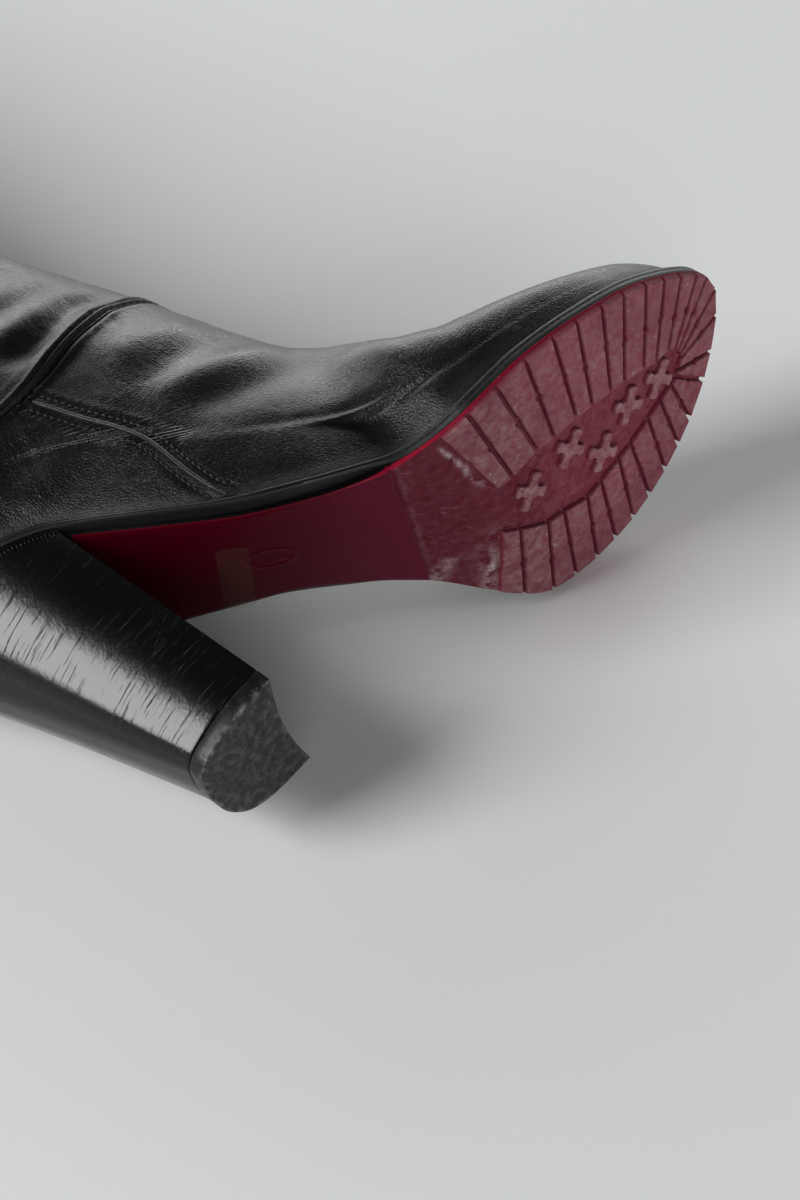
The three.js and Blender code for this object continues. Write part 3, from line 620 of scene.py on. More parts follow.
def fold_height(P):
    h = np.zeros(P.shape[:-1])
    for line, side, depth, w in FOLD_LINES:
        flat = P.reshape(-1, 3)
        lo, hi = line.min(0) - 6 * w, line.max(0) + 6 * w
        m = np.where(((flat > lo) & (flat < hi)).all(1))[0]
        if not len(m):
            continue
        q = flat[m]
        best = np.full(len(m), 1e9)
        at = np.zeros(len(m))
        for i, p in enumerate(line):
            d = ((q - p) ** 2).sum(1)
            c = d < best
            best[c] = d[c]
            at[c] = i / max(len(line) - 1, 1)
        ends = smooth(at / 0.28) * smooth((1 - at) / 0.28)
        d = np.sqrt(best)
        shape = bump(d, w) - 0.28 * bump(d - 2.1 * w, w * 0.9)
        h.reshape(-1)[m] += depth * shape * np.maximum(ends, 0.0)
    return h


def dist_to_quarter(P):
    a = signed_side_distance(P, QUARTER_LINES[-1], -1)
    b = signed_side_distance(P, QUARTER_LINES[1], 1)
    return np.where(np.abs(a) < np.abs(b), a, b)


SOLE_FADE = lambda P: smooth((P[..., 2] - z_sole(P[..., 0], P[..., 1]) - T_SOLE - 0.5) / 9.0)


def displaced(P, N, U, foot):
    """Heights of the outer leather's folds and slow undulations, faded near the sole, with its flex and wear masks."""
    near_sole = SOLE_FADE(P) if foot else np.ones(P.shape[:-1])
    near_sole = np.where(P[..., 0] > X_TOE - 20, near_sole * smooth((X_TOE - P[..., 0]) / 20 + 0.3), near_sole)
    h = fold_height(P) * near_sole
    slack = smooth((P[..., 2] - 95) / 60)
    h += soft_noise(P, 75, 3) * mix(0.35, 0.75, slack) * near_sole
    h += soft_noise(P, 26, 5, 2) * mix(0.10, 0.28, slack) * near_sole
    flex = 0.25 * np.ones(P.shape[:-1])
    vamp = bump(P[..., 0] - 146, 16) * smooth((P[..., 2] - 16) / 10)
    ankle = bump(P[..., 2] - 132, 34)
    flex = np.clip(0.12 + 0.75 * vamp + 0.8 * ankle + 0.25 * slack, 0, 1)
    toe = smooth((P[..., 0] - 168) / 16) * (1 if foot else 0)
    flex = flex * (1 - 0.92 * toe)
    wear = np.clip(0.9 * bump(P[..., 2] - z_sole(np.clip(P[..., 0], 6, 222), P[..., 1]) - T_SOLE - 1.5, 3.0), 0, 1) if foot else np.zeros(P.shape[:-1])
    return h, flex, wear


HF, FLEXF, WEARF = displaced(PF, NF, UF, True)
HL, FLEXL, WEARL = displaced(PL, NL, UL, False)

# vamp and quarter seam: two stitched troughs with the leather puffed between them and the piping
DQ = dist_to_quarter(PF)
fade_q = 1.0
HF += -0.50 * bump(np.abs(DQ) - 2.5, 0.62) + 0.30 * bump(np.abs(DQ) - 1.35, 0.8) + 0.22 * bump(np.abs(DQ) - 3.9, 1.0)

# ankle seam: the shaft's folded edge laps over the vamp, with two stitched troughs on it
dl = np.r_[NEAR, np.linspace(NEAR[-1], 400, UL.shape[0] - len(NEAR) + 1)[1:]][:UL.shape[0]]
lap = 0.30 * smooth(dl / 0.6) * (1 - smooth((dl - 6) / 8)) + 0.03
rows_tr = -0.95 * bump(dl - 0.85, 0.42) - 0.95 * bump(dl - 2.95, 0.45) + 0.42 * bump(dl - 1.9, 0.6) + 0.55 * bump(dl - 4.3, 1.1)
HL += (lap + rows_tr)[:, None]
df = np.r_[np.linspace(400, NEAR[-1], UF.shape[0] - len(NEAR) + 1)[:-1], NEAR[::-1]][-UF.shape[0]:]
HF += (-0.45 * bump(df, 0.5) + 0.40 * bump(df - 1.7, 1.0))[:, None]

OF = PF + NF * HF[..., None]
OL = PL + NL * HL[..., None]


def on_floor(P, clear):
    below = clear - floor_height(P)
    k = np.maximum(below, 0)
    return P + FLOOR_N * k[..., None]


OF, OL = on_floor(OF, 0.0), on_floor(OL, 0.0)

# scalloped leather between the stitches of the ankle seam
arc = np.r_[0, np.cumsum(np.linalg.norm(np.diff(PL[0], axis=0), axis=1))]
PITCH = 3.0
scal = 0.20 * np.cos(2 * np.pi * arc / PITCH)
OL += NL * ((bump(dl - 1.0, 0.6) + bump(dl - 2.95, 0.6))[:, None] * scal[None, :])[..., None]


def close_sheet(P, rows_in, wall, name, mat, slot, nodes, attrs, cap_start=False):
    nu, nv = P.shape[:2]
    faces = [tuple(f) for f in grid_faces(nu, nv)]
    verts = P.reshape(-1, 3)
    if cap_start:
        faces.append(tuple(range(nv)))
    ob = new_object(name, verts, faces, attrs=attrs)
    return put(ob, mat, slot, *nodes)


FOOT_N = OF.shape[0]
upper = close_sheet(OF, None, WALL, "upper_leather", M_LEATHER, "upper_leather", ["upper"],
                    {"flex": FLEXF.ravel(), "wear": WEARF.ravel()}, cap_start=True)


# the leg is closed behind: weld its two edges where they meet at the back
def welded(ob, dist=0.0012):
    bm = bmesh.new()
    bm.from_mesh(ob.data)
    bmesh.ops.remove_doubles(bm, verts=[v for v in bm.verts if v.is_boundary], dist=dist)
    bmesh.ops.recalc_face_normals(bm, faces=bm.faces)
    bm.to_mesh(ob.data)
    bm.free()
    ob.data.shade_smooth()


# collar: the leather turns in over the edge and runs down as a facing
top = OL[-1]
ntop = NL[-1]
turn = [(0.0, 0.0), (0.35, 0.55), (1.0, 0.8), (1.7, 0.55), (2.1, -0.2), (2.15, -2), (2.15, -8), (2.15, -18)]
extra = []
ax = np.array([0, 0, 1.0])
for inn, upz in turn[1:]:
    extra.append(top - ntop * inn + ax * upz)
OLX = np.concatenate([OL, np.array(extra)])
flx = np.concatenate([FLEXL, np.repeat(FLEXL[-1:], len(extra), 0)])
wrx = np.concatenate([WEARL, np.repeat(WEARL[-1:], len(extra), 0)])
shaft = close_sheet(OLX, None, WALL, "shaft_leather", M_SHAFT, "upper_leather", ["shaft"],
                    {"flex": flx.ravel(), "wear": wrx.ravel()})
welded(shaft)


# ------------------------------------------------------------------ stitches and piping
def tube(points, radius, sides=8, closed_ends=True, squash=1.0, up=None):
    pts = np.asarray(points, float)
    t = np.gradient(pts, axis=0)
    t /= np.linalg.norm(t, axis=1, keepdims=True)
    up = np.array([0, 0, 1.0]) if up is None else np.asarray(up, float)
    b = np.cross(t, up if up.ndim == 2 else np.broadcast_to(up, t.shape))
    b /= np.maximum(np.linalg.norm(b, axis=1, keepdims=True), 1e-9)
    n = np.cross(b, t)
    r = np.broadcast_to(radius, (len(pts),))
    a = np.linspace(0, 2 * np.pi, sides, endpoint=False)
    V = pts[:, None, :] + (b[:, None, :] * np.cos(a)[None, :, None] + n[:, None, :] * np.sin(a)[None, :, None] * squash) * r[:, None, None]
    F = [tuple(f) for f in grid_faces(len(pts), sides, wrap=True)]
    F.append(tuple(range(sides))[::-1])
    F.append(tuple(range((len(pts) - 1) * sides, len(pts) * sides)))
    return V.reshape(-1, 3), F


def stitches(line, normals, pitch, length, radius, sink=0.12, sides=6):
    """Joined mesh of short threads along a line on the surface."""
    d = np.r_[0, np.cumsum(np.linalg.norm(np.diff(line, axis=0), axis=1))]
    V, F = [], []
    base = 0
    for s in np.arange(pitch * 0.5, d[-1] - pitch * 0.3, pitch):
        q = np.linspace(s - length / 2, s + length / 2, 5)
        p = np.stack([np.interp(q, d, line[:, c]) for c in range(3)], -1)
        n = np.stack([np.interp(q, d, normals[:, c]) for c in range(3)], -1)
        n /= np.linalg.norm(n, axis=1, keepdims=True)
        prof = np.array([-0.9, 0.35, 0.6, 0.35, -0.9]) * radius
        p = p + n * (prof - sink)[:, None]
        v, f = tube(p, radius * np.array([0.75, 1, 1.05, 1, 0.75]), sides, up=n)
        V.append(v)
        F += [tuple(i + base for i in g) for g in f]
        base += len(v)
    return np.concatenate(V), F


def surface_probe(P, N):
    flat, nf = P.reshape(-1, 3), N.reshape(-1, 3)
    kd = KDTree(len(flat))
    for i, p in enumerate(flat):
        kd.insert(p, i)
    kd.balance()
    return kd, flat, nf


PROBE_F = surface_probe(OF, NF)


def settle(line, probe, side=None):
    kd, flat, nf = probe
    out, nn = [], []
    for p in line:
        near = kd.find_n(p, 8)
        w = np.array([1 / (d + 0.08) for _, _, d in near])
        w /= w.sum()
        n = (w[:, None] * np.array([nf[i] for _, i, _ in near])).sum(0)
        n /= np.linalg.norm(n)
        c = (w[:, None] * np.array([flat[i] for _, i, _ in near])).sum(0)
        out.append(p + n * float((c - p) @ n))
        nn.append(n)
    return np.array(out), np.array(nn)


def smooth_line(L, k=5):
    Q = np.pad(L, ((k, k), (0, 0)), mode="edge")
    return np.stack([np.convolve(Q[:, c], np.ones(2 * k + 1) / (2 * k + 1), mode="valid") for c in range(3)], -1)


TV, TF, tb = [], [], 0


def gather(v, f):
    global tb
    TV.append(v)
    TF.extend([tuple(i + tb for i in g) for g in f])
    tb += len(v)


for s in (-1, 1):
    line, nn = settle(QUARTER_LINES[s], PROBE_F)
    line = smooth_line(line, 4)
    t = np.gradient(line, axis=0)
    t /= np.linalg.norm(t, axis=1, keepdims=True)
    off = np.cross(nn, t)
    off /= np.linalg.norm(off, axis=1, keepdims=True)
    for k in (-2.5, 2.5):
        l2, n2 = settle(line + off * k, PROBE_F)
        gather(*stitches(smooth_line(l2, 2), n2, 2.3, 1.75, 0.33, sink=0.10))
    # piping: the raised folded edge between the rows
    taper = np.interp(np.linspace(0, 1, len(line)), [0, 0.04, 0.9, 1], [0.35, 0.62, 0.62, 0.42])
    v, f = tube(line + nn * np.interp(np.linspace(0, 1, len(line)), [0, 0.9, 1], [0.22, 0.22, -0.25])[:, None], taper, 12, up=nn, squash=0.95)
    pipe = new_object("quarter_piping_" + ("lateral" if s < 0 else "medial"), v, f, attrs={"flex": np.zeros(len(v)), "wear": 0.25 * np.ones(len(v))})
    put(pipe, M_LEATHER, "upper_leather")

for d0 in (0.7, 2.9):
    i = int(np.argmin(np.abs(NEAR - d0)))
    L, N = OL[i], NL[i]
    keep = slice(2, -2)
    gather(*stitches(L[keep], N[keep], PITCH, 1.9, 0.26, sink=0.02))
collar_row = OL[-7]
gather(*stitches(collar_row[2:-2], NL[-7][2:-2], 3.0, 2.2, 0.30, sink=0.0))
threads = new_object("upper_stitches", np.concatenate(TV), TF)
put(threads, M_THREAD, "upper_leather")


# ------------------------------------------------------------------ lining
def lining_material():
    k = Nodes("lining_leather")
    P = k.attr("boot", True)
    a = k.noise(P, 700, 4, 0.6)
    b = k.noise(P, 40, 3, 0.5)
    col = k.mixc(b, (0.030, 0.027, 0.025), (0.052, 0.047, 0.043))
    return k.done(col, k.math("MULTIPLY_ADD", a, 0.15, 0.68), k.bump(a, 0.00012, 0.6), Specular_IOR_Level=0.3)


M_LINING = lining_material()
uu = np.linspace(1.0, N_ROWS - 1, 150)
vv = np.linspace(0, 1, 90)
UI, VI = np.meshgrid(uu, vv, indexing="ij")
PI = section(UI, VI, wall=WALL + 0.15)
NI = normals_of(PI)
PI = PI + NI * (fold_height(PI) * SOLE_FADE(PI) * 0.9)[..., None]
PI = on_floor(PI, WALL)
PI[-1, :, 2] -= 3.0
lv = PI.reshape(-1, 3)
lining = new_object("lining", lv, [tuple(f) for f in grid_faces(150, 90)] + [tuple(range(90))])
put(lining, M_LINING, "insole_leather")
welded(lining, 0.0015)


# ------------------------------------------------------------------ slabs of the sole
def slab_rings(xs, low, high, across):
    rings = []
    for x in xs:
        r = [(x, *low(x, s)) for s in across] + [(x, *high(x, s)) for s in across[::-1]]
        rings.append(r)
    R = np.array(rings, float)
    nu, nv = R.shape[:2]
    F = [tuple(f) for f in grid_faces(nu, nv, wrap=True)]
    h = nv // 2
    for base in (0, (nu - 1) * nv):
        for j in range(h - 1):
            F.append((base + j, base + j + 1, base + nv - 2 - j, base + nv - 1 - j))
    return R.reshape(-1, 3), F


def contour(n, edge):
    """Closed plan outline of n points per side and its outward plan normals."""
    g = np.linspace(0.0, 1.0, n)
    xs = to_x(g)
    lat = np.c_[xs, edge(xs, -1)]
    med = np.c_[xs, edge(xs, 1)]
    loop = np.concatenate([lat, med[::-1][1:-1]])
    # even spacing
    L = np.r_[loop, loop[:1]]
    d = np.r_[0, np.cumsum(np.linalg.norm(np.diff(L, axis=0), axis=1))]
    s = np.linspace(0, d[-1], 2 * n, endpoint=False)
    loop = np.c_[np.interp(s, d, L[:, 0]), np.interp(s, d, L[:, 1])]
    for _ in range(3):
        loop = (np.roll(loop, 1, 0) + 2 * loop + np.roll(loop, -1, 0)) / 4
    t = np.roll(loop, -1, 0) - np.roll(loop, 1, 0)
    t /= np.linalg.norm(t, axis=1, keepdims=True)
    return loop, np.c_[t[:, 1], -t[:, 0]]


def banded(edge, n, bands, height, fill_low, fill_high):
    """Solid over a plan outline: bands are (inset, height function) from the inner underside, round the edge, to the inner top."""
    loop, nrm = contour(n, edge)
    rings = []
    for inset, hf in bands:
        ins = inset(loop[:, 0]) if callable(inset) else inset
        q = loop - nrm * np.reshape(ins, (-1, 1)) if np.ndim(ins) else loop - nrm * ins
        z = hf(q[:, 0], q[:, 1])
        rings.append(np.c_[q, z])
    R = np.array(rings)
    nb, m = R.shape[:2]
    F = [tuple(f) for f in grid_faces(nb, m, wrap=True)]
    V = [R.reshape(-1, 3)]
    base = nb * m
    for ring, hf, first in ((R[0], fill_low, True), (R[-1], fill_high, False)):
        # shrink rings towards the middle line, then a strip down it
        prev = np.arange(m) + (0 if first else (nb - 1) * m)
        mid = np.c_[ring[:, 0], np.interp(ring[:, 0], to_x(np.linspace(0, 1, 60)), (edge(to_x(np.linspace(0, 1, 60)), 1) + edge(to_x(np.linspace(0, 1, 60)), -1)) / 2)]
        mid[:, 0] = mix(mid[:, 0], np.clip(mid[:, 0], X_BACK + 8, X_TOE - 9), 1.0)
        for t in (0.25, 0.5, 0.75, 0.96):
            q = mix(ring[:, :2], mid, t)
            V.append(np.c_[q, hf(q[:, 0], q[:, 1])])
            cur = np.arange(m) + base
            base += m
            for j in range(m):
                k = (j + 1) % m
                F.append((prev[j], prev[k], cur[k], cur[j]))
            prev = cur
        half = m // 2
        for j in range(half - 1):
            a, b = prev[j], prev[j + 1]
            c, d = prev[(m - 1 - j) % m], prev[(m - 2 - j) % m]
            if len({a, b, c, d}) == 4:
                F.append((a, b, d, c))
    return np.concatenate(V), F, R


def edge_material():
    k = Nodes("midsole_edge")
    P = k.attr("boot", True)
    a = k.noise(P, 900, 4, 0.6)
    lines = k.noise(k.mapping(P, scale=(60, 60, 2600)), 1.0, 3, 0.6)
    b = k.noise(P, 90, 4, 0.6)
    fore_ = k.along(P, 0, 0.108, 0.150)
    toe_reflection_mask = k.along(P, 0, 0.165, 0.215)
    col = k.mixc(fore_, k.mixc(b, (0.0035, 0.0037, 0.0042), (0.0085, 0.0087, 0.0092)), k.mixc(k.ramp(b, (0.35, 0.0), (0.7, 1.0)), (0.014, 0.0145, 0.015), (0.042, 0.043, 0.043)))
    # painted reflection: the edge colour is made lighter towards the toe, standing for the pale backdrop mirrored there
    col = k.mixc(k.math("MULTIPLY", toe_reflection_mask, 0.6), col, (0.16, 0.158, 0.155))
    col = k.mixc(k.math("MULTIPLY", k.ramp(k.noise(P, 260, 5, 0.7), (0.58, 0.0), (0.75, 1.0)), k.math("MULTIPLY_ADD", fore_, 0.42, 0.06)), col, (0.13, 0.13, 0.128))
    h = k.math("ADD", k.math("MULTIPLY", a, 0.5), k.math("MULTIPLY", lines, 0.6))
    return k.done(col, k.math("MULTIPLY_ADD", a, 0.2, 0.42), k.bump(h, 0.00012, 0.7), Specular_IOR_Level=0.5)


M_EDGE = edge_material()
zs = z_sole


def fore(x):
    return smooth((x - 112) / 14)


mid_bands = [
    (lambda x: mix(3.2, 1.2, fore(x)), lambda x, y: zs(x, y) + mid_c(x)),
    (lambda x: mix(1.4, 0.35, fore(x)), lambda x, y: zs(x, y) + mix(mid_c(x), mid_r(x), 0.62)),
    (0.18, lambda x, y: zs(x, y) + mid_r(x) - 0.02),
    (0.0, lambda x, y: zs(x, y) + mid_r(x) + 0.22),
    (0.0, lambda x, y: zs(x, y) + mix(mid_r(x), T_SOLE, 0.35)),
    (0.02, lambda x, y: zs(x, y) + T_SOLE - 1.62),
    (0.30, lambda x, y: zs(x, y) + T_SOLE - 1.48),
    (0.34, lambda x, y: zs(x, y) + T_SOLE - 1.30),
    (0.06, lambda x, y: zs(x, y) + T_SOLE - 1.14),
    (0.0, lambda x, y: zs(x, y) + T_SOLE - 0.9),
    (0.02, lambda x, y: zs(x, y) + T_SOLE - 0.32),
    (0.14, lambda x, y: zs(x, y) + T_SOLE - 0.08),
    (0.40, lambda x, y: zs(x, y) + T_SOLE),
    (1.0, lambda x, y: zs(x, y) + T_SOLE),
    (1.35, lambda x, y: zs(x, y) + T_SOLE - 0.22 * fore(x)),
    (1.7, lambda x, y: zs(x, y) + T_SOLE),
    (3.2, lambda x, y: zs(x, y) + T_SOLE),
]
V, F, MR = banded(rim, 420, mid_bands, None, lambda x, y: zs(x, y) + mid_c(x), lambda x, y: zs(x, y) + T_SOLE)
midsole = new_object("midsole_welt", V, F)
shade_by_angle(midsole, 40)
put(midsole, M_EDGE, "edge_leather", "midsole")

# welt stitching, in the groove of the edge and on the ledge
ring = MR[7]
sel = [i for i in range(len(ring)) if ring[i][0] > 118]
start = sel[0]
order = sorted(sel)
loopn = np.roll(ring, 0, axis=0)[order]
nrm2 = MR[4][order] - MR[14][order]
nrm2[:, 2] = 0
nrm2 /= np.linalg.norm(nrm2, axis=1, keepdims=True)
WV, WF = stitches(loopn, nrm2, 2.2, 1.6, 0.17, sink=-0.02)
ledge_ring = MR[14][order]
upn = np.tile(np.array([0, 0, 1.0]), (len(order), 1))
v2, f2 = stitches(ledge_ring, upn, 2.6, 1.9, 0.28, sink=0.0)
F2 = WF + [tuple(i + len(WV) for i in g) for g in f2]
welt_st = new_object("welt_stitches", np.concatenate([WV, v2]), F2)
put(welt_st, M_THREAD, "edge_leather")


# ------------------------------------------------------------------ outsole
def rubber_material(name, face, deep, rough, dust_amt, scratches=True):
    """Dusty moulded rubber; the attribute lift is 1 on faces that meet the ground and 0 down in the grooves."""
    k = Nodes(name)
    P = k.attr("boot", True)
    lift = k.attr("lift")
    a = k.noise(P, 60, 5, 0.62)
    b = k.noise(P, 420, 5, 0.66)
    c = k.noise(P, 1900, 4, 0.65)
    fl = k.mapping(k.add_vec(P, k.noise(P, 90, 2, color=True), 0.006), rot=(0, 0, math.radians(52)), scale=(1, 1, 1))
    sc = k.noise(k.mapping(fl, scale=(1500, 170, 170)), 1.0, 4, 0.62)
    m = k.math("MULTIPLY", k.ramp(b, (0.42, 0.0), (0.70, 1.0)), k.ramp(a, (0.30, 0.15), (0.68, 1.0)))
    toe = k.along(P, 0, 0.126, 0.170)
    far = k.mixc(k.ramp(a, (0.3, 0.0), (0.7, 1.0)), tuple(v * 0.85 for v in face), tuple(v * 1.15 for v in face))
    col = k.mixc(toe, k.mixc(0.5, far, (0.085, 0.014, 0.024)), far)
    col = k.mixc(k.math("MULTIPLY", m, dust_amt), col, (0.285, 0.190, 0.170))
    if scratches:
        s = k.math("MULTIPLY", k.ramp(sc, (0.60, 0.0), (0.72, 1.0)), k.ramp(a, (0.4, 0.0), (0.66, 1.0)))
        col = k.mixc(k.math("MULTIPLY", s, 0.38), col, (0.55, 0.47, 0.45))
        spk = k.math("MULTIPLY", k.ramp(k.voronoi(P, 520), (0.05, 1.0), (0.16, 0.0)), k.ramp(b, (0.5, 0.0), (0.64, 1.0)))
        col = k.mixc(k.math("MULTIPLY", spk, 0.75), col, (0.62, 0.54, 0.52))
    col = k.mixc(lift, deep, col)
    dusty = k.attr("dust")
    dn = k.math("MULTIPLY", dusty, k.ramp(k.noise(P, 300, 5, 0.7), (0.38, 0.0), (0.66, 1.0)))
    col = k.mixc(k.math("MULTIPLY", dn, 0.75), col, (0.62, 0.55, 0.54))
    h = k.math("ADD", k.math("MULTIPLY", c, 0.35), k.math("MULTIPLY", b, 0.8))
    h = k.math("ADD", h, k.math("MULTIPLY", sc, 0.3))
    r = k.math("ADD", rough - 0.1, k.math("MULTIPLY", b, 0.2))
    r = k.math("ADD", r, k.math("MULTIPLY", m, 0.12))
    return k.done(col, r, k.bump(h, 0.00022, 0.75), Specular_IOR_Level=0.25)


M_LUG = rubber_material("tread_rubber", (0.240, 0.056, 0.084), (0.165, 0.003, 0.025), 0.66, 0.85)


def waist_material():
    k = Nodes("sole_rubber")
    P = k.attr("boot", True)
    lift = k.attr("lift")
    dusty = k.attr("dust")
    a = k.noise(P, 45, 4, 0.6)
    b = k.noise(P, 380, 5, 0.66)
    fl = k.mapping(k.add_vec(P, k.noise(P, 70, 2, color=True), 0.010), rot=(0, 0, math.radians(-28)))
    sc = k.noise(k.mapping(fl, scale=(240, 2100, 240)), 1.0, 4, 0.6)
    waist = k.mixc(a, (0.058, 0.0, 0.0045), (0.078, 0.0002, 0.0095))
    toe = k.along(P, 0, 0.122, 0.168)
    forep = k.mixc(toe, k.mixc(k.ramp(b, (0.38, 0.0), (0.66, 1.0)), (0.088, 0.0065, 0.016), (0.125, 0.022, 0.036)),
                   k.mixc(k.ramp(b, (0.38, 0.0), (0.66, 1.0)), (0.175, 0.024, 0.046), (0.240, 0.066, 0.090)))
    forep = k.mixc(k.math("MULTIPLY", k.ramp(a, (0.45, 0.0), (0.72, 1.0)), k.math("MULTIPLY_ADD", toe, 0.30, 0.06)), forep, (0.30, 0.12, 0.135))
    side = k.attr("side")
    # painted reflection: the waist rubber is coloured lighter towards the joint
    waist = k.mixc(k.along(P, 0, 0.088, 0.114), waist, (0.098, 0.006, 0.022))
    col = k.mixc(lift, waist, forep)
    red = k.attr("redside")
    col = k.mixc(red, col, k.mixc(k.along(P, 0, 0.100, 0.118), (0.070, 0.0005, 0.007), (0.26, 0.004, 0.028)))
    col = k.mixc(side, col, k.mixc(k.along(P, 0, 0.108, 0.150), (0.0038, 0.004, 0.0045), (0.024, 0.0245, 0.025)))
    scr = k.math("MULTIPLY", k.ramp(sc, (0.62, 0.0), (0.75, 1.0)), k.math("MULTIPLY_ADD", lift, 0.35, 0.08))
    col = k.mixc(scr, col, (0.42, 0.27, 0.29))
    dn = k.math("MULTIPLY", dusty, k.ramp(k.noise(P, 240, 6, 0.72), (0.40, 0.0), (0.64, 1.0)))
    col = k.mixc(k.math("MULTIPLY", dn, 0.8), col, (0.66, 0.60, 0.60))
    r = k.math("MULTIPLY_ADD", lift, 0.30, 0.24)
    r = k.math("ADD", r, k.math("MULTIPLY", b, 0.10))
    r = k.math("ADD", r, k.math("MULTIPLY", dn, 0.25))
    h = k.math("ADD", k.math("MULTIPLY", b, 0.5), k.math("MULTIPLY", k.noise(P, 1400, 3, 0.6), 0.25))
    nb = k.bump(h, 0.00013, 0.5)
    return k.done(col, r, nb, Specular_IOR_Level=0.12, Coat_Weight=0.0)


M_WAIST = waist_material()

JOINT = 115.7


def base_lift(x):
    return LUG * smooth((x - 110) / 14)


def waist_detail(x, y):
    """Small relief of the sole's smooth parts: joint groove and ring mark."""
    h = 0.45 * bump(x - (JOINT + 0.02 * y), 0.38)                                   # groove across the joint
    r = np.hypot(x - 87.5, (y + 6.2))
    h = h - 0.34 * bump(r - 4.6, 0.45) - 0.26 * bump(np.hypot(x - 89.3, y + 5.2), 0.95) + 0.12 * bump(r, 3.4)
    return h


xs_base = np.unique(np.r_[X_BREAST + 0.7, np.linspace(55, 130, 230), to_x(np.linspace(float(to_g(130)), 1 - 0.0035, 120))])
across = np.r_[0, 0.004, 0.012, 0.03, np.linspace(0.06, 0.94, 100), 0.97, 0.988, 0.996, 1.0]


def low(x, s):
    a, b = float(plan(x, -1)), float(plan(x, 1))
    y = mix(a, b, s)
    e = min(y - a, b - y)
    soft = 0.55 * max(0.0, 1 - e / 0.9) ** 2
    return [y, float(zs(x, y)) + float(base_lift(x)) + soft + float(waist_detail(x, y))]


def high(x, s):
    y = mix(float(plan(x, -1)), float(plan(x, 1)), s)
    return [y, float(zs(x, y)) + mix(2.25, OUT_T, float(smooth((x - 104) / 14)))]


R = []
for x in xs_base:
    strip = 0.25 + 0.95 * math.exp(-((x - 121) / 8) ** 2)
    ym, zm_ = low(x, 1.0)
    yl, zl_ = low(x, 0.0)
    top_m, top_l = high(x, 1.0)[1], high(x, 0.0)[1]
    R.append([(x, *low(x, s)) for s in across] + [(x, ym, min(zm_ + strip, top_m - 0.2)), (x, ym, min(zm_ + strip + 0.12, top_m - 0.08)), (x, *high(x, 1.0)), (x, *high(x, 0.5)),
             (x, *high(x, 0.0)), (x, yl, min(zl_ + strip + 0.12, top_l - 0.08)), (x, yl, min(zl_ + strip, top_l - 0.2))])
R = np.array(R, float)
nu, nv = R.shape[:2]
F = [tuple(f) for f in grid_faces(nu, nv, wrap=True)]
for base in (0, (nu - 1) * nv):
    F.append(tuple(base + j for j in range(nv)))
Vb = R.reshape(-1, 3)
lift_b = smooth((Vb[:, 0] - JOINT + 0.3) / 0.6)
edge_d = np.minimum(Vb[:, 1] - plan(Vb[:, 0], -1), plan(Vb[:, 0], 1) - Vb[:, 1])


def near_segment(V, p, q):
    """Plan distance from points to a segment, and the share along it."""
    p, q = np.array(p, float), np.array(q, float)
    d = q - p
    t = np.clip(((V[:, :2] - p) @ d) / (d @ d), 0, 1)
    return np.linalg.norm(V[:, :2] - (p + t[:, None] * d), axis=1), t


d1, t1 = near_segment(Vb, (126.9, -31.5), (134.6, -6.4))
d2, t2 = near_segment(Vb, (126.4, 30.5), (131.6, 12.0))
d3, t3 = near_segment(Vb, (117.2, 20.5), (120.5, 14.0))
dust_b = (0.80 * bump(d1, 0.6) * smooth(t1 * 6) * (1 - smooth((t1 - 0.75) * 4)) + 0.75 * bump(d2, 1.2) * (1 - smooth((t2 - 0.3) * 1.6)) + 0.22 * bump(d2, 4.0) + 0.42 * bump(d3, 2.0)
          + 0.10 * bump(Vb[:, 0] - 116.6, 0.5) + 0.03) * lift_b
side_b = np.zeros((nu, nv))
side_b[:, nv - 6:nv - 1] = 1.0
side_b[:3, :] = 1.0
red_b = np.zeros((nu, nv))
red_b[:, 0] = red_b[:, len(across) - 1] = 1.0
red_b[:, nv - 1] = red_b[:, len(across)] = 1.0
red_b[:, 1] = red_b[:, len(across) - 2] = 0.8
red_b[-2:, :] = 1.0
red_b = red_b.ravel()
side_b = side_b.ravel()
base_ob = new_object("outsole_base", Vb, F, attrs={"lift": lift_b, "dust": np.clip(dust_b, 0, 1) * (1 - side_b) * (1 - red_b), "side": side_b, "redside": red_b})
shade_by_angle(base_ob, 50)
put(base_ob, M_WAIST, "outsole_rubber", "outsole")

LATERAL = [(127.8, -33.6, 135.6, -6.6), (135.9, -36.6, 141.3, -6), (145.8, -37.1, 150.8, -6.6), (156.4, -36.7, 156.9, -5.1),
           (166.4, -35.1, 165.3, -4.7), (174.8, -32.7, 171.1, -2.9), (183.6, -29.4, 178.1, -1.6), (191.4, -26, 183.1, 0.1),
           (199.2, -21.4, 190.3, 2.6), (205.6, -17.4, 195, 4.6), (211.4, -12.7, 200, 5.1), (216.7, -7.6, 202.2, 7.3),
           (220.0, -3.4, 203.3, 8.7), (221.9, 3.2, 203.6, 10.4), (219.6, 11.6, 203.9, 12.3), (214.2, 20.9, 201.7, 14.9),
           (209, 27.2, 200.6, 16.8)]
MEDIAL = [(209, 27.2, 200.6, 16.8), (200.6, 34.4, 197.6, 17.3), (194.2, 38.7, 192.6, 18.4), (187.4, 42, 187, 20.1),
          (179.8, 44.8, 179.1, 22), (172.4, 46.5, 173.9, 22.9), (164.8, 47.2, 166.3, 24), (157.2, 47, 160.6, 24.6),
          (149.2, 45.8, 152.4, 21.2), (141.1, 43, 146.7, 19.6), (133.1, 37.4, 138.1, 12.9), (127.8, 32.2, 133.3, 9.6)]
STUDS = [(145, 4.3), (160.6, 3.4), (169.8, 15.1), (182.2, 9), (194.4, 11)]


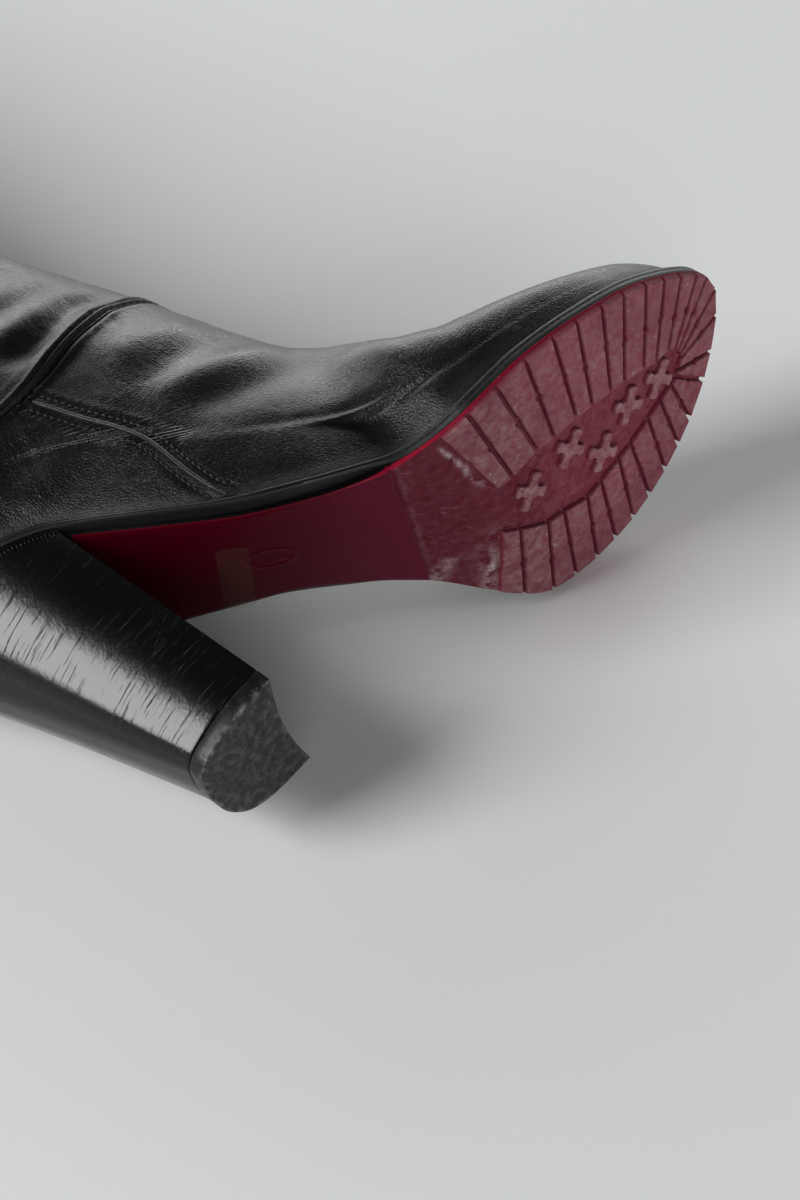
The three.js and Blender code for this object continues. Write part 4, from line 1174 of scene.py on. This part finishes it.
def lug_poly(a, b, width=1.15, notch=True, side=-1, k=0):
    """Plan polygon of a tread block between grooves a and b, its long sides notched about mid-length."""
    ao, ai = np.array(a[:2]), np.array(a[2:])
    bo, bi = np.array(b[:2]), np.array(b[2:])

    def shrink(p, q):
        d = q - p
        l = np.linalg.norm(d)
        w = min(width / 2, l * 0.3)
        return p + d / l * w, q - d / l * w
    o0, o1 = shrink(ao, bo)
    i0, i1 = shrink(ai, bi)
    pts = []
    m = (o0 + o1) / 2
    sd = 1 if m[1] > 5 else -1
    n_arc = 4
    for t in np.linspace(0, 1, n_arc + 1):
        p = mix(o0, o1, t)
        if p[0] < 219.0:
            y = float(plan(p[0], sd)) - sd * 0.12
            if abs(y - p[1]) < 2.5:
                p = np.array([p[0], y])
        pts.append(p)

    def long_side(p, q, off_dir):
        d = q - p
        l = np.linalg.norm(d)
        n = np.array([-d[1], d[0]]) / l * off_dir
        out = []
        if l > 9 and notch:
            c = 0.50 + 0.05 * math.sin(k * 2.3)
            w = 0.9 / l
            for t, o in ((c - w * 1.15, 0), (c - w * 0.45, 0.42), (c + w * 0.45, 0.42), (c + w * 1.15, 0)):
                out.append(p + d * t + n * o)
        return out
    pts += long_side(o1, i1, 1)
    pts += [i1, i0]
    pts += long_side(i0, o0, 1)
    return np.array(pts)


def cross_poly(cx, cy, k):
    """Four-armed stud with rounded ends."""
    pts = []
    turn_ = math.radians(45 + 6 * math.sin(k * 1.7))
    for q in range(4):
        a = turn_ + q * math.pi / 2
        d, n = np.array([math.cos(a), math.sin(a)]), np.array([-math.sin(a), math.cos(a)])
        L = 5.9
        for r, w in ((1.75, -1.75), (3.3, -1.35), (4.7, -1.9), (5.6, -1.35), (5.9, 0), (5.6, 1.35), (4.7, 1.9), (3.3, 1.35)):
            pts.append(np.array([cx, cy]) + d * r + n * w)
    return np.array(pts)


def area2(p):
    x, y = p[:, 0], p[:, 1]
    return 0.5 * float((x * np.roll(y, -1) - np.roll(x, -1) * y).sum())


def block_mesh(poly, bm, lift_layer, dust_layer, dusty):
    """Prism with a chamfered, slightly rounded face and drafted sides, added to bm in boot millimetres."""
    if area2(poly) < 0:
        poly = poly[::-1]
    c = poly.mean(0)
    levels = [(0.0, LUG + 0.35), (0.0, LUG - 0.05), (0.14, 0.34), (0.22, 0.12), (0.40, 0.0)]
    n = len(poly)
    e = np.roll(poly, -1, 0) - poly
    e /= np.maximum(np.linalg.norm(e, axis=1, keepdims=True), 1e-9)
    nn = np.c_[e[:, 1], -e[:, 0]]
    vn = nn + np.roll(nn, 1, 0)
    vn /= np.maximum(np.linalg.norm(vn, axis=1, keepdims=True), 0.6)
    rings = []
    for ins, h in levels:
        q = poly - vn * ins
        z = zs(q[:, 0], q[:, 1]) + h
        vs = []
        for (x, y), zz in zip(q, z):
            v = bm.verts.new((x, y, float(zz)))
            v[lift_layer] = float(smooth((LUG - h) / 0.9)) if h > 0.2 else 1.0
            v[dust_layer] = dusty * (1.0 if h < 0.3 else 0.2)
            vs.append(v)
        rings.append(vs)
    for a, b in zip(rings, rings[1:]):
        for j in range(n):
            k = (j + 1) % n
            bm.faces.new((a[j], a[k], b[k], b[j]))
    bm.faces.new(rings[-1][::-1] if False else rings[-1])


bm = bmesh.new()
ll, dlr = bm.verts.layers.float.new("lift"), bm.verts.layers.float.new("dust")
k = 0
for table, sd in ((LATERAL, -1), (MEDIAL, 1)):
    for a, b in zip(table, table[1:]):
        dusty = 0.16 if (sd < 0 and k < 2) else (0.16 if sd > 0 and k > 24 else 0.12)
        block_mesh(lug_poly(a, b, side=sd, k=k), bm, ll, dlr, dusty)
        k += 1
for i, (cx, cy) in enumerate(STUDS):
    block_mesh(cross_poly(cx, cy, i), bm, ll, dlr, 0.34)
bmesh.ops.recalc_face_normals(bm, faces=bm.faces)
bmesh.ops.triangulate(bm, faces=[f for f in bm.faces if len(f.verts) > 4])
for v in bm.verts:
    v.co = Vector(to_row(np.array(v.co)))
me = bpy.data.meshes.new("tread_blocks")
bm.to_mesh(me)
bm.free()
lugs = bpy.data.objects.new("tread_blocks", me)
bpy.context.scene.collection.objects.link(lugs)
boot_attr(lugs)
shade_by_angle(lugs, 28)
put(lugs, M_LUG, "outsole_rubber")


# ------------------------------------------------------------------ heel and top piece
lift_cols = [curve(LIFT, c) for c in (1, 2, 3, 4)]


def seat_x(t):
    return 6.5 + (X_BREAST - 6.5) * t**1.6


def heel_ring(h, z0, m=46, f=22, out=0.0):
    k = HEEL_FLARE * h + (1 - HEEL_FLARE) * h**5
    t = np.linspace(0, 1, m + 1) ** 1.25

    def at(side):
        c = 0 if side < 0 else 2
        bx, by = lift_cols[c](t), lift_cols[c + 1](t)
        ux = seat_x(t)
        uy = rim(ux, side) - side * 0.6
        return np.c_[mix(bx, ux, k), mix(by, uy, k), mix(z0, zs(ux, uy) + 2.6, h)]
    lat, med = at(-1), at(1)
    a, b = lat[-1], med[-1]
    hollow = mix(2.2, 0.6, h)
    s = np.linspace(0, 1, f + 1)[1:-1]
    front = mix(a[None, :], b[None, :], s[:, None])
    front[:, 0] -= hollow * np.sin(np.pi * s)
    return np.concatenate([lat, front, med[::-1]])


def ring_offset(R, d):
    """Moves a plan ring in by d."""
    t = np.roll(R, -1, 0) - np.roll(R, 1, 0)
    n = np.c_[t[:, 1], -t[:, 0]]
    n /= np.maximum(np.linalg.norm(n, axis=1, keepdims=True), 1e-9)
    if area2(R[:, :2]) < 0:
        n = -n
    Q = R.copy()
    Q[:, :2] -= n * d
    return Q


def loft(rings, name, mat, slot, nodes, attrs=None, angle=40):
    R = np.array(rings)
    nu, nv = R.shape[:2]
    F = [tuple(f) for f in grid_faces(nu, nv, wrap=True)]
    F.append(tuple(range(nv)))
    F.append(tuple(range((nu - 1) * nv, nu * nv)))
    ob = new_object(name, R.reshape(-1, 3), F, attrs=attrs)
    bm = bmesh.new()
    bm.from_mesh(ob.data)
    bmesh.ops.triangulate(bm, faces=[f for f in bm.faces if len(f.verts) > 4])
    bm.to_mesh(ob.data)
    bm.free()
    shade_by_angle(ob, angle)
    return put(ob, mat, slot, *nodes)


def heel_material():
    k = Nodes("heel_leather")
    P = k.attr("boot", True)
    a = k.noise(P, 45, 4, 0.55)
    # fine creases round the heel, square to its height
    Pz = k.mapping(k.add_vec(P, k.noise(P, 110, 2, color=True), 0.0016), scale=(60, 60, 1500))
    ln = k.noise(Pz, 1.0, 3, 0.6)
    cr = k.ramp(ln, (0.60, 0.0), (0.70, 1.0))
    pores = k.noise(P, 1600, 3, 0.6)
    col = k.mixc(a, (0.0034, 0.0035, 0.0038), (0.0058, 0.0059, 0.0062))
    wear = k.attr("wear")
    sc = k.noise(k.mapping(P, scale=(180, 180, 900), rot=(0.2, 0.3, 0)), 1.0, 5, 0.66)
    scr = k.math("MULTIPLY", k.ramp(sc, (0.60, 0.0), (0.72, 1.0)), wear)
    col = k.mixc(k.math("MULTIPLY", scr, 0.55), col, (0.10, 0.10, 0.098))
    h = k.math("ADD", k.math("MULTIPLY", cr, -0.8), k.math("MULTIPLY", pores, 0.34))
    h = k.math("ADD", h, k.math("MULTIPLY", k.noise(P, 330, 3, 0.5), 0.5))
    r = k.math("ADD", 0.10, k.math("MULTIPLY", a, 0.08))
    r = k.math("ADD", r, k.math("MULTIPLY", scr, 0.3))
    r = k.math("ADD", r, k.math("MULTIPLY", ln, 0.07))
    return k.done(col, r, k.bump(h, 0.00011, 0.75), Specular_IOR_Level=0.58, Coat_Weight=0.0)


def top_piece_material():
    k = Nodes("top_piece_rubber")
    P = k.attr("boot", True)
    face = k.attr("lift")
    a = k.noise(P, 160, 5, 0.65)
    b = k.noise(P, 1100, 5, 0.7)
    fl = k.mapping(k.add_vec(P, k.noise(P, 70, 2, color=True), 0.008), rot=(0, 0, math.radians(35)))
    sc = k.noise(k.mapping(fl, scale=(1500, 150, 300)), 1.0, 5, 0.65)
    sc2 = k.noise(k.mapping(fl, scale=(170, 1300, 300), rot=(0, 0, 0.6)), 1.0, 5, 0.65)
    col = k.mixc(k.ramp(a, (0.3, 0.0), (0.7, 1.0)), (0.017, 0.017, 0.018), (0.034, 0.034, 0.034))
    s = k.math("MAXIMUM", k.ramp(sc, (0.57, 0.0), (0.70, 1.0)), k.ramp(sc2, (0.60, 0.0), (0.72, 1.0)))
    col = k.mixc(k.math("MULTIPLY", s, k.math("MULTIPLY_ADD", face, 0.30, 0.02)), col, (0.16, 0.157, 0.15))
    spk = k.ramp(k.voronoi(P, 700), (0.04, 1.0), (0.13, 0.0))
    col = k.mixc(k.math("MULTIPLY", k.math("MULTIPLY", spk, k.ramp(k.noise(P, 210, 3, 0.5), (0.60, 0.0), (0.68, 1.0))), face), col, (0.5, 0.48, 0.45))
    col = k.mixc(k.math("SUBTRACT", 1.0, face), col, (0.008, 0.008, 0.009))
    edge = k.attr("wear")
    col = k.mixc(k.math("MULTIPLY", edge, k.ramp(k.noise(P, 420, 5, 0.7), (0.45, 0.0), (0.66, 1.0))), col, (0.20, 0.195, 0.185))
    h = k.math("ADD", k.math("MULTIPLY", b, 0.35), k.math("MULTIPLY", s, 0.4))
    return k.done(col, k.math("MULTIPLY_ADD", face, 0.22, 0.34), k.bump(h, 0.00012, 0.6), Specular_IOR_Level=0.4)


M_HEEL, M_TOP = heel_material(), top_piece_material()
z0 = LIFT_T + GAP
rings, wear_h = [], []
base_ring = heel_ring(0.0, z0)
for d, dz in ((0.30, -0.12), (0.08, -0.06), (0.0, 0.10)):
    q = ring_offset(base_ring, d)
    q[:, 2] += dz
    rings.append(q)
    wear_h.append(0.9)
for h in np.linspace(0, 1, 110)[1:]:
    r = heel_ring(h, z0 + 0.12)
    rib = 0.0
    rings.append(r)
    wear_h.append(max(0.0, 1 - h * 9))
# points per ring, for the heel's wear attribute
R = np.array(rings)
seat = R[-1].copy()
per = len(seat)
for idx, depth in ((-3, 0.0),):
    pass
wear_attr = np.repeat(np.array(wear_h), per)
heel = loft(rings, "heel_block", M_HEEL, "heel_leather", ["heel"], attrs={"wear": wear_attr}, angle=38)

tp = []
face_a, edge_a = [], []
ring0 = heel_ring(0.0, 0.0)
for d, z, fa, ea in ((1.2, 0.0, 1, 0.35), (0.45, 0.0, 1, 0.9), (0.12, 0.12, 0.8, 1.0), (0.0, 0.42, 0.2, 0.8), (0.0, 1.2, 0, 0.25), (0.0, 2.6, 0, 0.05), (0.0, LIFT_T - 0.35, 0, 0.05), (0.12, LIFT_T - 0.08, 0, 0.2), (0.45, LIFT_T, 0, 0)):
    q = ring_offset(ring0, d)
    q[:, 2] = z
    tp.append(q)
    face_a.append(fa)
    edge_a.append(ea)
top_piece = loft(tp, "heel_top_piece", M_TOP, "top_piece_rubber", ["top_piece"],
                 attrs={"lift": np.repeat(np.array(face_a, float), len(ring0)), "wear": np.repeat(np.array(edge_a, float), len(ring0))}, angle=35)

# fine ribs pressed into the heel's upper edge, as short raised bars along the seat
RV, RF, rb = [], [], 0
edge_r = heel_ring(0.985, z0 + 0.12, m=120, f=10)[:]
lat_n = 121
path = np.concatenate([edge_r[:lat_n][::-1], edge_r[-lat_n:][::-1]])
path = np.concatenate([edge_r[:lat_n][::-1][:-1], edge_r[::-1][:lat_n]])
dd = np.r_[0, np.cumsum(np.linalg.norm(np.diff(path, axis=0), axis=1))]
cen = np.array([32.0, 0.0])
for s in np.arange(1.0, dd[-1] - 1.0, 1.15):
    p = np.array([np.interp(s, dd, path[:, c]) for c in range(3)])
    q = np.array([np.interp(s + 0.5, dd, path[:, c]) for c in range(3)])
    o = p[:2] - cen
    t = (q - p) / np.linalg.norm(q - p)
    n = np.array([o[0], o[1], 0.0])
    n -= t * (n @ t)
    n /= np.linalg.norm(n)
    upv = np.cross(t, n)
    upv *= np.sign(upv[2])
    line = np.array([p - upv * 1.05, p - upv * 0.35, p + upv * 0.35]) + n * 0.02
    v, f = tube(line, np.array([0.18, 0.3, 0.26]), 6, up=n)
    RV.append(v)
    RF += [tuple(i + rb for i in g) for g in f]
    rb += len(v)
ribs = new_object("heel_seat_ribs", np.concatenate(RV), RF, attrs={"wear": np.zeros(rb)})
put(ribs, M_HEEL, "heel_leather")


# ------------------------------------------------------------------ insole
def sock_material():
    k = Nodes("insole_sock")
    P = k.attr("boot", True)
    a = k.noise(P, 900, 4, 0.6)
    b = k.noise(P, 50, 4, 0.6)
    col = k.mixc(b, (0.035, 0.030, 0.027), (0.065, 0.056, 0.050))
    return k.done(col, k.math("MULTIPLY_ADD", a, 0.15, 0.6), k.bump(a, 0.00012, 0.6), Specular_IOR_Level=0.35)


INNER = WALL + 0.4


def insole_edge(x, side):
    return inward(x, side, ledge(x) + INNER, INNER + 0.6)


xs_in = to_x(np.linspace(float(to_g(X_BACK + INNER + 1.6)), float(to_g(X_TOE - WELT - INNER - 1.0)), 130))
acr = np.r_[0, 0.01, 0.03, np.linspace(0.08, 0.92, 14), 0.97, 0.99, 1.0]


def in_low(x, s):
    y = mix(float(insole_edge(x, -1)), float(insole_edge(x, 1)), s)
    return [y, float(zs(x, y)) + T_SOLE + GAP + 0.2]


def in_high(x, s):
    y = mix(float(insole_edge(x, -1)), float(insole_edge(x, 1)), s)
    e = min(s, 1 - s)
    return [y, float(zs(x, y)) + T_SOLE + GAP + 0.2 + 2.5 - 0.5 * max(0.0, 1 - e / 0.03) ** 2]


V, F = slab_rings(xs_in, in_low, in_high, list(acr))
insole = new_object("insole_sock", V, F)
shade_by_angle(insole, 45)
put(insole, sock_material(), "insole_leather", "insole")


# ------------------------------------------------------------------ clear film on the waist, blank
def film():
    k = Nodes("clear_film")
    P = k.attr("boot", True)
    n = k.noise(P, 500, 4, 0.6)
    b = k.b
    m = k.done((0.22, 0.17, 0.11), k.math("MULTIPLY_ADD", n, 0.15, 0.12), k.bump(n, 0.00010, 0.6), Specular_IOR_Level=0.5, Alpha=0.06)
    return m


fx = np.linspace(-3.0, 3.0, 12)
fy = np.linspace(-14.6, 18.0, 46)
FV = []
for b_ in fy:
    for a_ in fx:
        x = 80.0 + a_ * (1 - 0.35 * math.exp(-((min(b_ + 14.6, 18.0 - b_)) / 0.8) ** 2)) - 0.03 * (b_ - 2)
        y = b_
        rr = 0.0
        end = min(b_ + 14.6, 18.0 - b_)
        z = float(zs(x, min(y, float(plan(x, 1))))) - 0.34 - 0.06 * math.sin(b_ * 0.6 + a_ * 0.5)
        FV.append((x, y, z))
ff = [tuple(f) for f in grid_faces(len(fy), len(fx))]
film_ob = new_object("waist_film", np.array(FV), ff)
sol = film_ob.modifiers.new("thick", "SOLIDIFY")
sol.thickness = 0.00008
put(film_ob, film(), "outsole_rubber")


# ------------------------------------------------------------------ floor, light, camera
def floor_material():
    k = Nodes("paper_floor")
    tc = k.n("ShaderNodeTexCoord").outputs["Object"]
    a = k.noise(tc, 2.0, 3, 0.5)
    b = k.noise(tc, 300, 4, 0.6)
    sp = k.ramp(k.voronoi(tc, 55), (0.004, 1.0), (0.012, 0.0))
    col = k.mixc(a, (0.81, 0.82, 0.82), (0.85, 0.86, 0.86))
    col = k.mixc(k.math("MULTIPLY", sp, 0.35), col, (0.35, 0.34, 0.33))
    return k.done(col, 0.7, k.bump(b, 0.0002, 0.2), Specular_IOR_Level=0.25)


fm = bpy.data.meshes.new("studio_floor")
fm.from_pydata([(-9, -9, 0), (9, -9, 0), (9, 9, 0), (-9, 9, 0)], [], [(0, 1, 2, 3)])
floor = bpy.data.objects.new("studio_floor", fm)
floor.location = (0, 0, -0.0004)
bpy.context.scene.collection.objects.link(floor)
fm.materials.append(floor_material())


def area_light(name, loc, target, size, power, color=(1, 1, 1)):
    L = bpy.data.lights.new(name, "AREA")
    L.shape = "RECTANGLE"
    L.size, L.size_y = size
    L.energy = power
    L.color = color
    o = bpy.data.objects.new(name, L)
    o.location = loc
    o.rotation_euler = (Vector(target) - Vector(loc)).to_track_quat("-Z", "Y").to_euler()
    o.visible_camera = False
    bpy.context.scene.collection.objects.link(o)
    return o


# camera: the photograph's viewpoint, worked out in the boot frame
CAM_R = np.array([[0.0, 0, 0]] * 3)
rv = np.array([0.7790889199937859, -0.6135856555171748, -0.5913389079332645])
th = np.linalg.norm(rv)
kx = rv / th
K = np.array([[0, -kx[2], kx[1]], [kx[2], 0, -kx[0]], [-kx[1], kx[0], 0]])
CAM_R = np.eye(3) + math.sin(th) * K + (1 - math.cos(th)) * K @ K
CAM_T = np.array([-65.17959454974269, 68.8559604034971, 744.3457181671442])
eye = to_row(-CAM_R.T @ CAM_T)
right, down, fwd = [TO_ROW @ CAM_R[i] for i in range(3)]
cam = bpy.data.cameras.new("camera")
cam.sensor_fit = "VERTICAL"
cam.sensor_height = 36.0
cam.lens = 3078.619 * 36.0 / 1200.0
cam.clip_start, cam.clip_end = 0.01, 20
cam_ob = bpy.data.objects.new("camera", cam)
cam_ob.matrix_world = Matrix(((right[0], -down[0], -fwd[0], eye[0]), (right[1], -down[1], -fwd[1], eye[1]),
                              (right[2], -down[2], -fwd[2], eye[2]), (0, 0, 0, 1)))
bpy.context.scene.collection.objects.link(cam_ob)
bpy.context.scene.camera = cam_ob
print("camera at", eye, "forward", fwd)

world = bpy.data.worlds.new("studio")
bpy.context.scene.world = world
world.use_nodes = True
# pale walls round a dark ceiling
wt = world.node_tree
bg = wt.nodes["Background"]
wc = wt.nodes.new("ShaderNodeTexCoord")
wz = wt.nodes.new("ShaderNodeSeparateXYZ")
wt.links.new(wc.outputs["Generated"], wz.inputs[0])
wr_ = wt.nodes.new("ShaderNodeMapRange")
wr_.interpolation_type = "SMOOTHSTEP"
wt.links.new(wz.outputs[2], wr_.inputs[0])
for i_, v_ in ((1, 0.08), (2, 0.44), (3, 0.80), (4, 0.04)):
    wr_.inputs[i_].default_value = v_
wt.links.new(wr_.outputs[0], bg.inputs[1])
bg.inputs[0].default_value = (0.96, 0.985, 1.0, 1)

ctr = Vector((0.10, -0.03, 0.04))


def from_side(name, az, el, dist, size, radiance, color=(1, 1, 1)):
    """Soft panel seen from the boot at a compass direction and height, given by its brightness."""
    a_, e_ = math.radians(az), math.radians(el)
    loc = ctr + Vector((math.cos(a_) * math.cos(e_), math.sin(a_) * math.cos(e_), math.sin(e_))) * dist
    return area_light(name, loc, ctr, size, radiance * math.pi * size[0] * size[1], color)


from_side("window_left", -115, 38, 2.4, (1.35, 1.35), 9.2)
from_side("window_right", -25, 20, 2.6, (1.7, 1.0), 5.4)
from_side("backdrop", 146, 13, 2.6, (3.8, 1.0), 4.5, (0.98, 1.0, 0.99))

bpy.context.scene.view_settings.view_transform = "Standard"
bpy.context.scene.view_settings.look = "None"
bpy.context.scene.view_settings.exposure = 0.0
bpy.context.scene.view_settings.gamma = 0.86

bpy.context.view_layer.update()
